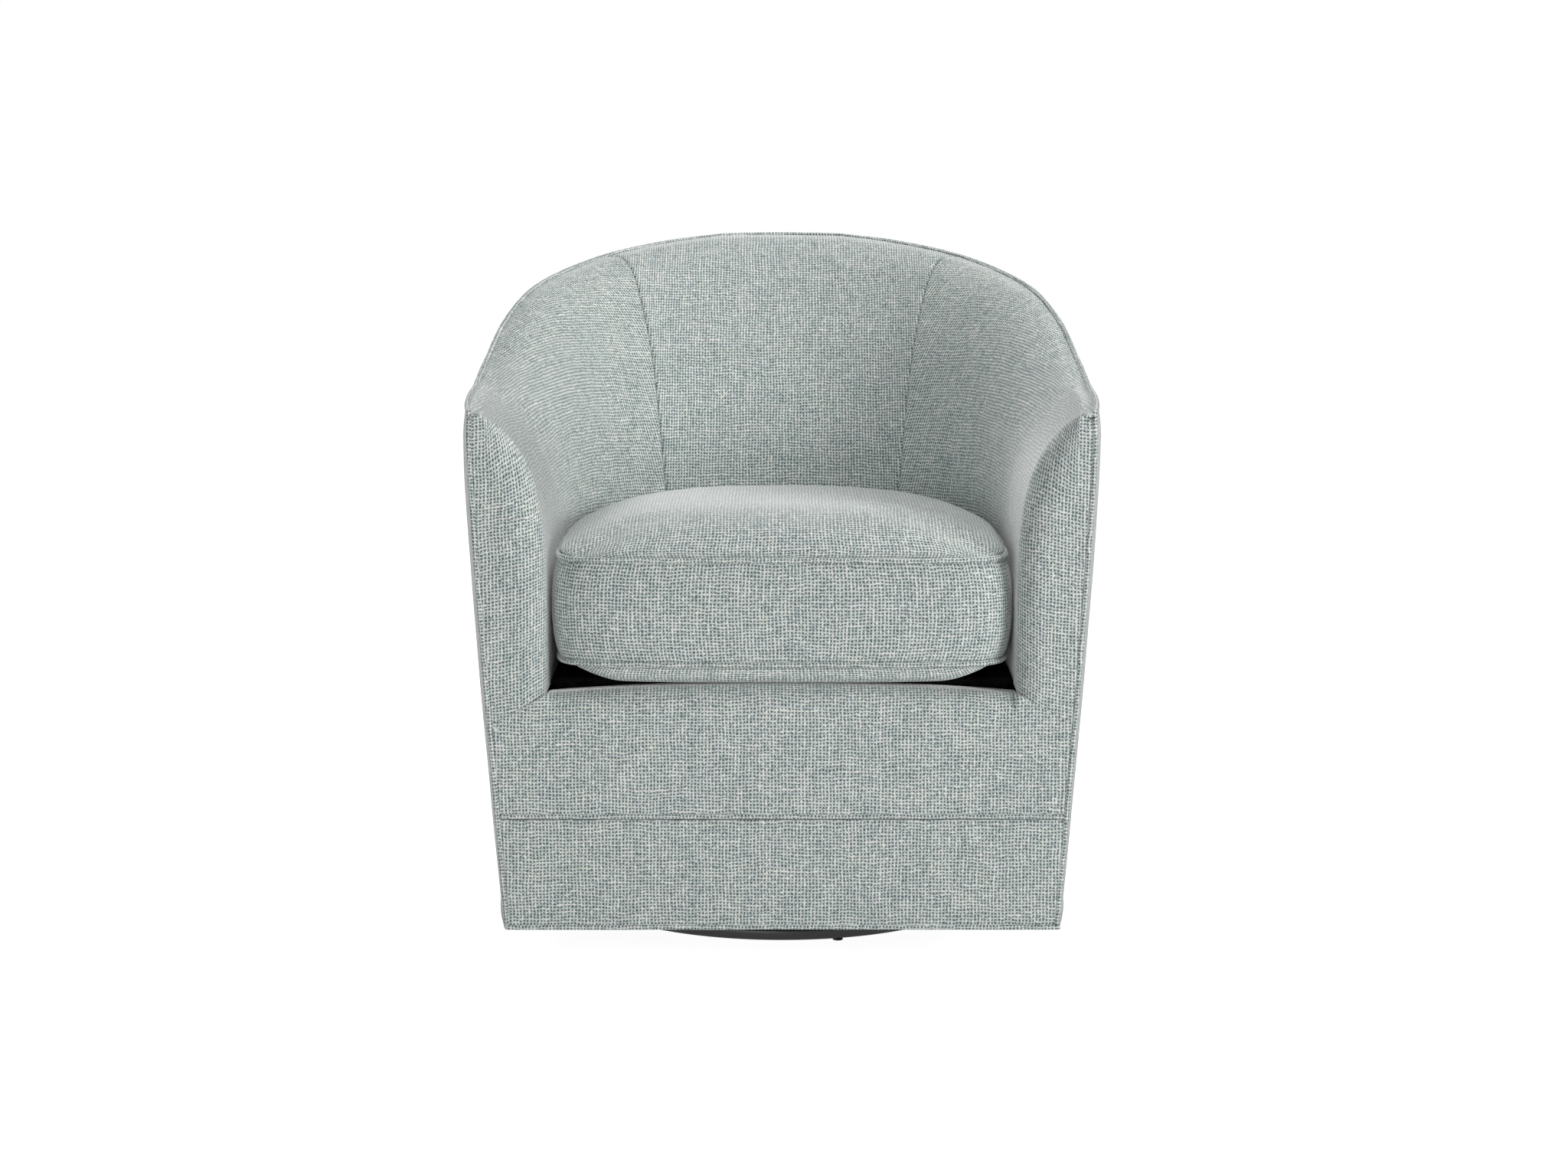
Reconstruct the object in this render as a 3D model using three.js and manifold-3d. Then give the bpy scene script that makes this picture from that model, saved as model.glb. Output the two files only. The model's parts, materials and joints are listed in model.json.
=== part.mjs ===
// Swivel barrel chair: a base disc with a ball-race swivel, and an upholstered barrel seat that turns on it.
// Millimetres, +Z up. The origin is on the floor, on the swivel axis. The chair faces -Y.

import * as THREE from "three";
import { mergeVertices } from "three/addons/utils/BufferGeometryUtils.js";
import Module from "manifold-3d";

const wasm = await Module();
wasm.setup();

// Driving dimensions of the whole chair
const chairDepth = 800;
const armHeight = 667;
const armRise = 8; // of an arm's rim from the front corner to where the curve begins
const backHeight = 849;
const hemHeight = 53;
const seatHeight = 336; // where the inside covers end, beside the deck
const deckRise = 9.6; // of the deck above them
const railSeamHeight = 190;
const seatHalfWidth = 276;
const seatStraight = 200;
const backThickness = 270; // from the seat's back out to the rim
const armThickness = 108; // from the seat's side out to the rim, where the rim is widest
const rimFrontTaper = 20.5; // by which the rim draws in from there to the front corner
const rimStraight = 270;
const hemTaper = 35.5; // of each side, from the rim down to the hem
const hemFrontTaper = 21.5;
const hemStraight = 250;
const hemRake = 100; // of the back, from the rim down to the hem
const sideBulge = 12.5;
const backBulge = 9;
const cornerBulge = 5;

// Upholstery
const weltRadius = 3.2;
const panelThickness = 4;
const padThickness = 38; // inside covers with their foam, at seat height
const topPadding = 30; // over the arm and back rails
const frontPadThickness = 28;
const frontPadReach = 62; // how far the front rail's cover runs back over the rail
const frontCrown = 11;
const frontTopRadius = 26;
const frontEdgeRadius = 3;
const slopeDrop = 34;
const rollRadius = 42; // of the arm's front where it is fullest
const rollEase = 2; // by which each step of the roll lies behind the next
const rearEase = 4;
const slabStep = 1;
const dustMargin = 4; // round the swivel
const dustSetback = 1;
const borderThickness = 8;
const deckThickness = 25.4;
const dustCoverThickness = 1.2;

// Frame boards
const boardThickness = 22;
const bottomRailHeight = 60;
const seatRailHeight = 60;
const seatRailWidth = 36;
const topRailHeight = 30;
const topRailWidth = 23;
const postThickness = 28;
const postDepth = 48;
const postTopDrop = 8; // room for the sloping rails over a back post
const railDrop = 20; // of the top rails' upper face below the foam's edge
const swivelBoardWidth = 90;

// Base and swivel
const discRadius = 257;
const discThickness = 18;
const boreMargin = 3; // round the pivot bolt's head
const discRimRadius = 9;
const discFootRadius = 2.5;
const glideRadius = 6.5;
const glideHeight = 3;
const glideInset = 0.5; // from the disc's rim
const glideCount = 4;
const glideAngle = 16; // of the first one, from the front
const flangeRadius = 140;
const raceRadius = 100;
const raceHalfWidth = 9;
const plateThickness = 2.5;
const ballRadius = 2.9;
const ballCount = 12;
const cageHalfWidth = 5;
const cageThickness = 1.4;
const boltRadius = 6;
const boltHeadRadius = 11;
const boltHeadHeight = 5;
const boltTip = 1; // past the nut
const screwRadius = 2.5;
const screwHeadRadius = 5;
const screwHeadHeight = 2.4;
const screwLength = 12;
const screwCircleRadius = 129;

// Springs
const wireRadius = 2;
const springSideRoom = 108; // from the outermost spring to the seat's side
const springCount = 5;
const springHalfWidth = 22;
const springPitch = 46;

// Seat cushion
const cushionSideGap = 1; // to the arms
const cushionBackGap = 5;
const cushionSetback = 2; // of its front behind the chair's
const cushionLowRise = 24.4; // of its lower cord above the deck
const cushionBoxing = 123; // between its cords
const cushionTopCrown = 47;
const cushionSeamInset = 12.5;
const cushionWeltInset = 8;
const cushionSeamRise = 8; // of the covers' edges above and below a cord
const seamLip = 7.5; // inset of those edges
const cushionBulge = 8.4; // of the sides past them

// Clearances
const gap = 0.4; // between soft pieces and what they touch
const woodGap = 0.3; // between frame boards
const wallGap = 0.6; // between the frame and the curved covers
const runGap = 1; // round the pivot bolt
const weldDistance = 0.001; // below which points are one

// Facets
const overrun = 1; // by which a drill passes the face that it leaves
const roundSides = 36;
const screwSides = 8;
const glideSides = 12;
const weltSides = 6;
const wireSides = 4;
const cushionSides = 44;
const rollSteps = 3;
const faceSteps = 2;
const arcSteps = 3;
const postRows = 9;
const boltSides = 6;
const ballSides = 8;
const ballRings = 4;
const curveSteps = 12;
const straightSteps = 3;
const halvings = 24;

// Levels that follow from the sizes above
const front = -chairDepth / 2;
const seatDepth = chairDepth - backThickness;
const rimHalfWidth = seatHalfWidth + armThickness;
const hemHalfWidth = rimHalfWidth - hemTaper;
const weltOut = weltRadius - panelThickness / 2; // how far a corner cord stands out from the cover beside it
const weltRoom = 2 * weltRadius - weltOut + gap;
const hemWeltHeight = hemHeight + weltRadius;
const coverBottom = hemWeltHeight + weltRadius + gap;
const frameBottom = coverBottom + dustCoverThickness + 2 * gap;
const bottomRailTop = frameBottom + bottomRailHeight;
const deckTop = seatHeight + deckRise;
const deckBottom = deckTop - deckThickness;
const springTop = deckBottom - gap;
const seatRailTop = springTop - 2 * wireRadius - woodGap;
const seatRailBottom = seatRailTop - seatRailHeight;
const frontPadBack = front + weltOut + frontPadThickness;
const springSpacing = (2 * (seatHalfWidth - springSideRoom)) / (springCount - 1);
const cushionLowWelt = deckTop + cushionLowRise;
const cushionHighWelt = cushionLowWelt + cushionBoxing;
const cushionLowCrown = cushionLowWelt - cushionSeamRise - deckTop - gap;

// Shares that shape the covers, chosen by hand
const curvePower = 2; // the rim and the hem are elliptical in plan
const seatPower = 2.5; // the inside is squarer
const seatTurn = 11; // degrees by which the inside runs ahead of the rim
const curveShare = 0.73; // of the walk from the back's middle to a front corner
const seamAngle = 51.7; // where the inside back meets the inside arms
const armTurn = 8; // below this angle a section has the arm's shape
const backTurn = 62; // above this one, the back's
const cushionFrontPower = 6.5;
const crownPower = 5;
const riseShares = [0, 0.152, 0.416, 0.624, 0.746, 0.844, 0.913, 0.965, 0.996, 1];
const bulgeShares = [0, 0.34, 0.64, 0.88, 1, 0.96, 0.74, 0];
const bulgeHeightShares = [0, 0.17, 0.33, 0.5, 0.67, 0.83, 0.93, 1];
const armOutShares = [0, 0, 0.02, 0.07, 0.2, 0.42, 0.68, 0.87, 1];
const armUpShares = [0, 0.25, 0.5, 0.64, 0.78, 0.89, 0.965, 0.995, 1];
const backOutShares = [0, 0, 0.1, 0.23, 0.4, 0.56, 0.73, 0.89, 1];
const backUpShares = [0, 0.26, 0.41, 0.56, 0.73, 0.85, 0.95, 0.995, 1];
const edgeShares = [0, 0.27, 0.49, 0.61, 0.72, 0.81, 0.87, 0.935, 1];
const edgeRiseShares = [0, 0.17, 0.33, 0.5, 0.67, 0.83, 0.93, 1];
const crownShares = [0.35, 0.65, 0.85, 0.95, 1];
const sideShares = [0, 0.33, 0.67, 1];
const rollShares = [0.71, 0.71, 0.76, 0.86, 1, 0.9, 0.52, 0.14, 0];
const acrossShares = [-1, -0.5, 0, 0.5, 1];
const borderShares = [0, 0.5, 1];
const railShares = [0, 0.25, 0.5, 0.75, 1];

const lerp = (a, b, t) => a + (b - a) * t;
const clamp = (x, low, high) => Math.min(high, Math.max(low, x));
const degrees = (a) => (a * Math.PI) / 180;

function smooth(a, b, x) {
  const t = clamp((x - a) / (b - a), 0, 1);
  return t * t * (3 - 2 * t);
}

// Reads a list of values at positions xs, straight between them
function read(xs, values, x) {
  let i = 1;
  while (i < xs.length - 1 && x > xs[i]) i++;
  return lerp(values[i - 1], values[i], clamp((x - xs[i - 1]) / (xs[i] - xs[i - 1]), 0, 1));
}

// Outlines in plan, walked by q: 0 at the back's middle, curveShare where the curve meets the arm, 1 at the
// front corner
function outline(q, shape) {
  if (q >= curveShare) {
    const f = (1 - q) / (1 - curveShare);
    const x = shape.corner + (shape.half - shape.corner) * f * (2 - f);
    return [x, front + shape.straight * f];
  }
  const turn = 90 * (1 - q / curveShare);
  const a = degrees(turn + shape.turn * Math.sin(degrees(2 * turn)));
  const reach = shape.depth - shape.straight;
  const x = shape.half * Math.max(Math.cos(a), 0) ** (2 / shape.power);
  return [x, front + shape.straight + reach * Math.sin(a) ** (2 / shape.power)];
}

const rimShape = {
  half: rimHalfWidth, corner: rimHalfWidth - rimFrontTaper, straight: rimStraight,
  depth: chairDepth - weltOut, turn: 0, power: curvePower,
};
const hemShape = {
  half: hemHalfWidth, corner: hemHalfWidth - hemFrontTaper, straight: hemStraight,
  depth: chairDepth - hemRake, turn: 0, power: curvePower,
};
const seatShape = {
  half: seatHalfWidth, corner: seatHalfWidth, straight: seatStraight, depth: seatDepth,
  turn: seatTurn, power: seatPower,
};

// All layers share these stations, so that neighbours are faceted alike
const seamStation = curveShare * (1 - seamAngle / 90);
const stations = [];
for (let i = 0; i <= curveSteps; i++) stations.push((curveShare * i) / curveSteps);
for (let i = 1; i <= straightSteps; i++) {
  stations.push(curveShare + ((1 - curveShare) * i) / straightSteps);
}

const stationHeights = stations.map(stationHeight);
const stationStep = 0.01;
const wallLength = stations.slice(1).reduce((sum, q, i) => (
  sum + Math.hypot(...outline(q, rimShape).map((c, k) => c - outline(stations[i], rimShape)[k]))
), 0); // of the rim for one unit of the walk round it

function between(q0, q1) {
  const tiny = 1e-4;
  const both = stations.flatMap((q) => (q === 0 ? [0] : [q, -q]));
  const inner = both.filter((q) => q > q0 + tiny && q < q1 - tiny).sort((a, b) => a - b);
  return [q0, ...inner, q1];
}

// The point of an outline at a signed station, on the straight chord between shared stations
function planPoint(s, shape) {
  const q = Math.min(Math.abs(s), 1);
  let i = 1;
  while (i < stations.length - 1 && q > stations[i]) i++;
  const [x0, y0] = outline(stations[i - 1], shape);
  const [x1, y1] = outline(stations[i], shape);
  const t = (q - stations[i - 1]) / (stations[i] - stations[i - 1]);
  return new THREE.Vector2(Math.sign(s) * lerp(x0, x1, t), lerp(y0, y1, t));
}

// The outward direction in plan, with the front corners kept square to the front
function outward(s, shape) {
  if (Math.abs(s) >= 1) return new THREE.Vector2(Math.sign(s), 0);
  const a = new THREE.Vector2(...outlineSigned(s - stationStep, shape));
  const b = new THREE.Vector2(...outlineSigned(s + stationStep, shape));
  const along = b.sub(a).normalize();
  return new THREE.Vector2(-along.y, along.x);
}

function outlineSigned(s, shape) {
  const [x, y] = outline(Math.min(Math.abs(s), 1), shape);
  return [Math.sign(s) * x, y];
}

// The rim's height at a shared station: nearly level over the arms, then rising round the back
function stationHeight(q) {
  if (q >= curveShare) return armHeight + armRise * ((1 - q) / (1 - curveShare)) ** 2;
  const knots = riseShares.map((_, i) => i / (riseShares.length - 1));
  return lerp(armHeight + armRise, backHeight, read(knots, riseShares, 1 - q / curveShare));
}

function rimHeight(s) {
  return read(stations, stationHeights, Math.min(Math.abs(s), 1));
}

// The outside of the chair at a station and a height, moved inwards by inset
function outerPoint(s, z, inset) {
  const t = clamp((z - hemHeight) / (rimHeight(s) - hemHeight), 0, 1);
  const low = planPoint(s, hemShape);
  const high = planPoint(s, rimShape);
  const swell = read(bulgeHeightShares, bulgeShares, t);
  const sideFullness = lerp(sideBulge, backBulge, smooth(0, curveShare, curveShare - Math.abs(s)));
  const fullness = lerp(cornerBulge, sideFullness, smooth(0, 1 - curveShare, 1 - Math.abs(s)));
  const p = low.lerp(high, t).addScaledVector(outward(s, rimShape), swell * fullness - inset);
  return new THREE.Vector3(p.x, p.y, z);
}

// The inside face at a station and a step v of its section; depth 0 is the face, 1 the back of the foam
function innerPoint(s, v, depth) {
  const steps = armOutShares.map((_, i) => i / (armOutShares.length - 1));
  const turn = 90 * (1 - Math.min(Math.abs(s) / curveShare, 1));
  const backness = smooth(armTurn, backTurn, turn);
  const out = lerp(read(steps, armOutShares, v), read(steps, backOutShares, v), backness);
  const up = lerp(read(steps, armUpShares, v), read(steps, backUpShares, v), backness);
  const low = planPoint(s, seatShape).addScaledVector(outward(s, seatShape), padThickness * depth);
  const rimInset = lerp(weltRoom, panelThickness + wallGap, depth);
  const high = planPoint(s, rimShape).addScaledVector(outward(s, rimShape), -rimInset);
  const p = low.lerp(high, out);
  return new THREE.Vector3(p.x, p.y, lerp(seatHeight, rimHeight(s) - topPadding * depth, up));
}

// The same face read by height instead of by step
function innerAt(s, z, depth) {
  let low = 0;
  let high = 1;
  for (let i = 0; i < halvings; i++) {
    const mid = (low + high) / 2;
    if (innerPoint(s, mid, depth).z < z) low = mid;
    else high = mid;
  }
  const p = innerPoint(s, low, depth);
  return new THREE.Vector3(p.x, p.y, z);
}

// A closed body from its triangles, faces out
function solid(triangles) {
  const flat = new Float32Array(triangles.flatMap((p) => [p.x, p.y, p.z]));
  const geometry = new THREE.BufferGeometry().setAttribute("position", new THREE.BufferAttribute(flat, 3));
  const merged = mergeVertices(geometry, weldDistance);
  const index = Array.from(merged.index.array);
  const kept = [];
  for (let i = 0; i < index.length; i += 3) {
    const [a, b, c] = index.slice(i, i + 3);
    if (a !== b && b !== c && c !== a) kept.push(a, b, c);
  }
  merged.setIndex(kept);
  return merged;
}

// A body between two grids of points with the same rows and columns, stitched round its edge
function slab(face, rear) {
  const triangles = [];
  const quad = (a, b, c, d) => triangles.push(a, b, c, a, c, d);
  const rows = face.length - 1;
  const columns = face[0].length - 1;
  for (let i = 0; i < rows; i++) {
    for (let j = 0; j < columns; j++) {
      quad(face[i][j], face[i + 1][j], face[i + 1][j + 1], face[i][j + 1]);
      quad(rear[i][j], rear[i][j + 1], rear[i + 1][j + 1], rear[i + 1][j]);
    }
    quad(face[i][0], rear[i][0], rear[i + 1][0], face[i + 1][0]);
    quad(rear[i + 1][columns], rear[i][columns], face[i][columns], face[i + 1][columns]);
  }
  for (let j = 0; j < columns; j++) {
    quad(rear[0][j + 1], rear[0][j], face[0][j], face[0][j + 1]);
    quad(face[rows][j], rear[rows][j], rear[rows][j + 1], face[rows][j + 1]);
  }
  return outwardFacing(solid(triangles));
}

// Turns a closed geometry round if its faces point inwards
function outwardFacing(geometry) {
  const p = geometry.attributes.position;
  const index = Array.from(geometry.index.array);
  const corner = (i) => new THREE.Vector3().fromBufferAttribute(p, index[i]);
  let volume = 0;
  for (let i = 0; i < index.length; i += 3) volume += corner(i).dot(corner(i + 1).cross(corner(i + 2)));
  if (volume < 0) {
    for (let i = 0; i < index.length; i += 3) [index[i + 1], index[i + 2]] = [index[i + 2], index[i + 1]];
    geometry.setIndex(index);
  }
  return geometry;
}

// A round cord or wire along points, mitred at its corners
function cord(points, radius, sides, closed) {
  const count = points.length;
  const step = (i) => points[(i + 1) % count].clone().sub(points[i % count]).normalize();
  const start = step(0);
  const across = Math.abs(start.z) > 0.9 ? new THREE.Vector3(1, 0, 0) : new THREE.Vector3(0, 0, 1);
  const side = new THREE.Vector3().crossVectors(start, across).normalize();
  const other = new THREE.Vector3().crossVectors(start, side);
  let offsets = [];
  for (let k = 0; k < sides; k++) {
    const a = (2 * Math.PI * (k + 0.5)) / sides;
    const offset = side.clone().multiplyScalar(radius * Math.cos(a));
    offsets.push(offset.addScaledVector(other, radius * Math.sin(a)));
  }
  const rings = [];
  for (let i = 0; i < count; i++) {
    const first = i === 0 && !closed;
    const last = i === count - 1 && !closed;
    const into = first ? step(0) : step((i + count - 1) % count);
    const out = last ? into : step(i);
    const plane = into.clone().add(out).normalize();
    const base = i === 0 && closed ? out : into;
    const ring = offsets.map((v) => v.clone().addScaledVector(base, -v.dot(plane) / base.dot(plane)));
    rings.push(ring.map((v) => v.clone().add(points[i])));
    offsets = ring.map((v) => v.clone().addScaledVector(out, -v.dot(out)));
  }
  const triangles = [];
  const laps = closed ? count : count - 1;
  for (let i = 0; i < laps; i++) {
    const a = rings[i];
    const b = rings[(i + 1) % count];
    for (let k = 0; k < sides; k++) {
      const n = (k + 1) % sides;
      triangles.push(a[k], b[k], b[n], a[k], b[n], a[n]);
    }
  }
  if (!closed) {
    for (let k = 1; k < sides - 1; k++) {
      triangles.push(rings[0][0], rings[0][k], rings[0][k + 1]);
      triangles.push(rings[count - 1][0], rings[count - 1][k + 1], rings[count - 1][k]);
    }
  }
  return outwardFacing(solid(triangles));
}

// A quarter round, as steps in and down from the corner that it cuts, beginning at the side face
const quarter = (radius) => Array.from({ length: arcSteps + 1 }, (_, i) => {
  const a = (Math.PI / 2) * (i / arcSteps);
  return [radius * (1 - Math.cos(a)), radius * (1 - Math.sin(a))];
});

function cylinder(radius, low, high, sides, x, y) {
  return new THREE.CylinderGeometry(radius, radius, high - low, sides)
    .rotateX(Math.PI / 2)
    .translate(x, y, (low + high) / 2);
}

function box(x0, x1, y0, y1, z0, z1) {
  return new THREE.BoxGeometry(x1 - x0, y1 - y0, z1 - z0)
    .translate((x0 + x1) / 2, (y0 + y1) / 2, (z0 + z1) / 2);
}

// A turned piece from its closed outline of radius and height pairs
function turned(outlinePoints, sides) {
  const closed = [...outlinePoints, outlinePoints[0]].map(([r, z]) => new THREE.Vector2(r, z));
  return new THREE.LatheGeometry(closed, sides).rotateX(Math.PI / 2);
}

function toManifold(geometry) {
  const bare = geometry.clone();
  bare.deleteAttribute("normal");
  bare.deleteAttribute("uv");
  const merged = outwardFacing(mergeVertices(bare, weldDistance));
  return new wasm.Manifold(new wasm.Mesh({
    numProp: 3,
    vertProperties: merged.attributes.position.array,
    triVerts: new Uint32Array(merged.index.array),
  }));
}

function fromManifold(shape) {
  const mesh = shape.getMesh();
  const stride = mesh.numProp;
  const count = mesh.vertProperties.length / stride;
  const flat = new Float32Array(count * 3);
  for (let i = 0; i < count; i++) flat.set(mesh.vertProperties.subarray(i * stride, i * stride + 3), i * 3);
  return new THREE.BufferGeometry()
    .setAttribute("position", new THREE.BufferAttribute(flat, 3))
    .setIndex(new THREE.BufferAttribute(mesh.triVerts, 1));
}

function joined(geometries) {
  return fromManifold(geometries.map(toManifold).reduce((a, b) => a.add(b)));
}

// Materials
const materials = {
  fabric: { color: 0xa9b3b1, roughness: 0.9, metalness: 0 },
  lining: { color: 0x2a2b2c, roughness: 0.95, metalness: 0 },
  wood: { color: 0xc9a676, roughness: 0.7, metalness: 0 },
  steel: { color: 0x9a9da0, roughness: 0.4, metalness: 1 },
  blackPaint: { color: 0x141414, roughness: 0.4, metalness: 0.2 },
  glide: { color: 0x1b1b1b, roughness: 0.6, metalness: 0 },
};

const chair = new THREE.Group();
function add(name, geometry, finish) {
  const mesh = new THREE.Mesh(geometry, new THREE.MeshStandardMaterial(materials[finish]));
  mesh.name = name;
  chair.add(mesh);
}

// Base disc and swivel, from the floor up
const discTop = glideHeight + discThickness;
const lowerFlange = discTop + woodGap;
const upperFlange = frameBottom - woodGap;
const hatRise = (upperFlange - lowerFlange) / 2 - ballRadius - woodGap - plateThickness;
const ballHeight = (upperFlange + lowerFlange) / 2;
const discBoreRadius = boltHeadRadius + boreMargin;
const screwAngles = [45, 135, 225, 315];
const screwPlaces = screwAngles.map((a) => [
  screwCircleRadius * Math.cos(degrees(a)), screwCircleRadius * Math.sin(degrees(a)),
]);

function drilled(geometry, places, radius, low, high) {
  const holes = places.map(([x, y]) => toManifold(cylinder(radius, low, high, screwSides, x, y)));
  return fromManifold(holes.reduce((body, hole) => body.subtract(hole), toManifold(geometry)));
}

function addBase() {
  const topEdge = quarter(discRimRadius).map(([inwards, down]) => [discRadius - inwards, discTop - down]);
  const lowEdge = quarter(discFootRadius).map(([inwards, up]) => [discRadius - inwards, glideHeight + up]);
  const bore = [[discBoreRadius, discTop], [discBoreRadius, glideHeight]];
  const disc = turned([...bore, ...lowEdge.reverse(), ...topEdge], roundSides);
  const holeBottom = lowerFlange + plateThickness - screwLength;
  const holes = [screwPlaces, screwRadius + woodGap, holeBottom, discTop + overrun];
  add("base_disc", drilled(disc, ...holes), "blackPaint");
  const glideCircle = discRadius - glideInset - glideRadius;
  const firstAngle = glideAngle - 90;
  for (let i = 0; i < glideCount; i++) {
    const a = degrees(firstAngle + (360 * i) / glideCount);
    const place = [glideCircle * Math.cos(a), glideCircle * Math.sin(a)];
    const glide = cylinder(glideRadius, 0, glideHeight - woodGap, glideSides, ...place);
    add(`base_glide_${i + 1}`, glide, "glide");
  }
}

// A pressed steel plate with a flat hub and flange and a raised race ring; up is 1 or -1
function racePlate(level, up) {
  const foot = 2 * raceHalfWidth;
  const lean = plateThickness / 2;
  const hole = boltRadius + runGap;
  const point = (r, rise) => [r, level + up * rise];
  const high = hatRise + plateThickness;
  const plate = turned([
    point(hole, 0), point(raceRadius - foot, 0), point(raceRadius - raceHalfWidth, hatRise),
    point(raceRadius + raceHalfWidth, hatRise), point(raceRadius + foot, 0), point(flangeRadius, 0),
    point(flangeRadius, plateThickness), point(raceRadius + foot + lean, plateThickness),
    point(raceRadius + raceHalfWidth + lean, high), point(raceRadius - raceHalfWidth - lean, high),
    point(raceRadius - foot - lean, plateThickness), point(hole, plateThickness),
  ], roundSides);
  const reach = plateThickness + overrun;
  return drilled(plate, screwPlaces, screwRadius + woodGap, level - reach, level + reach);
}

// A countersunk screw, its head on the face at level and its shank pointing along way
function screw(x, y, level, way) {
  const head = level - way * (woodGap + screwHeadHeight);
  const neck = level - way * woodGap;
  const tip = neck + way * screwLength;
  const pin = (radius, from, to) => (
    cylinder(radius, Math.min(from, to), Math.max(from, to), screwSides, x, y)
  );
  return joined([pin(screwRadius, neck - way * overrun, tip), pin(screwHeadRadius, head, neck)]);
}

function addSwivel() {
  add("swivel_lower_plate", racePlate(lowerFlange, 1), "steel");
  add("swivel_upper_plate", racePlate(upperFlange, -1), "steel");
  screwPlaces.forEach(([x, y], i) => {
    add(`lower_plate_screw_${i + 1}`, screw(x, y, lowerFlange + plateThickness, -1), "steel");
    add(`upper_plate_screw_${i + 1}`, screw(x, y, upperFlange - plateThickness, 1), "steel");
  });
  const headTop = lowerFlange - woodGap;
  const nutBottom = upperFlange + woodGap;
  const nutTop = nutBottom + boltHeadHeight;
  const shank = cylinder(boltRadius, headTop - overrun, nutTop + boltTip, screwSides, 0, 0);
  const head = cylinder(boltHeadRadius, headTop - boltHeadHeight, headTop, boltSides, 0, 0);
  add("pivot_bolt", joined([head, shank]), "steel");
  const nutHole = boltRadius + woodGap;
  add("pivot_nut", turned([
    [nutHole, nutBottom], [boltHeadRadius, nutBottom], [boltHeadRadius, nutTop], [nutHole, nutTop],
  ], screwSides), "steel");
  const ring = turned([
    [raceRadius - cageHalfWidth, ballHeight - cageThickness / 2],
    [raceRadius + cageHalfWidth, ballHeight - cageThickness / 2],
    [raceRadius + cageHalfWidth, ballHeight + cageThickness / 2],
    [raceRadius - cageHalfWidth, ballHeight + cageThickness / 2],
  ], roundSides);
  const balls = Array.from({ length: ballCount }, (_, i) => {
    const a = (2 * Math.PI * i) / ballCount;
    return new THREE.SphereGeometry(ballRadius, ballSides, ballRings)
      .rotateX(Math.PI / 2)
      .translate(raceRadius * Math.cos(a), raceRadius * Math.sin(a), ballHeight);
  });
  add("swivel_ball_cage", joined([ring, ...balls]), "steel");
}

// A board that follows the outside covers, from a station to a station and a level to a level
function outerBoard(s0, s1, low, high, width, rows = 1) {
  const inset = panelThickness + wallGap;
  const level = (s, i) => lerp(low(s), high(s), i / rows);
  const grid = (depth) => Array.from({ length: rows + 1 }, (_, i) => (
    between(s0, s1).map((s) => outerPoint(s, level(s, i), depth))
  ));
  return slab(grid(inset), grid(inset + width));
}

// A board that follows the seat opening
function seatBoard(s0, s1) {
  const at = (s, z, depth) => {
    const p = planPoint(s, seatShape).addScaledVector(outward(s, seatShape), depth);
    return new THREE.Vector3(p.x, p.y, z);
  };
  const near = padThickness - seatRailWidth;
  const levels = [seatRailBottom, seatRailTop];
  const grid = (depth) => levels.map((z) => between(s0, s1).map((s) => at(s, z, depth)));
  return slab(grid(near), grid(padThickness));
}

// Half the width that a curved layer leaves at a place along the chair; pointAt gives the layer at a station
function halfWidthAt(y, pointAt) {
  let low = 0;
  let high = 1;
  for (let i = 0; i < halvings; i++) {
    const mid = (low + high) / 2;
    if (pointAt(mid).y > y) low = mid;
    else high = mid;
  }
  return pointAt(low).x;
}

// A front post: square to the front, as wide as the wall between the covers
function frontPost(side) {
  const y0 = frontPadBack + gap;
  const inset = panelThickness + wallGap;
  const behindPad = 1 + wallGap / padThickness;
  const top = topRailTop(1) - topRailHeight - woodGap;
  const grid = (pointAt) => Array.from({ length: postRows + 1 }, (_, i) => {
    const z = lerp(bottomRailTop + woodGap, top, i / postRows);
    return [y0, y0 + postThickness].map((y) => new THREE.Vector3(side * halfWidthAt(y, pointAt(z)), y, z));
  });
  return slab(grid((z) => (s) => outerPoint(s, z, inset)), grid((z) => (s) => innerAt(s, z, behindPad)));
}

// The station of the front part that lies a depth behind the front
const stationAt = (depth, shape) => 1 - ((1 - curveShare) * depth) / shape.straight;
const topRailTop = (s) => rimHeight(s) - topPadding - railDrop;
const topRailLow = (s) => topRailTop(s) - topRailHeight;

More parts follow.
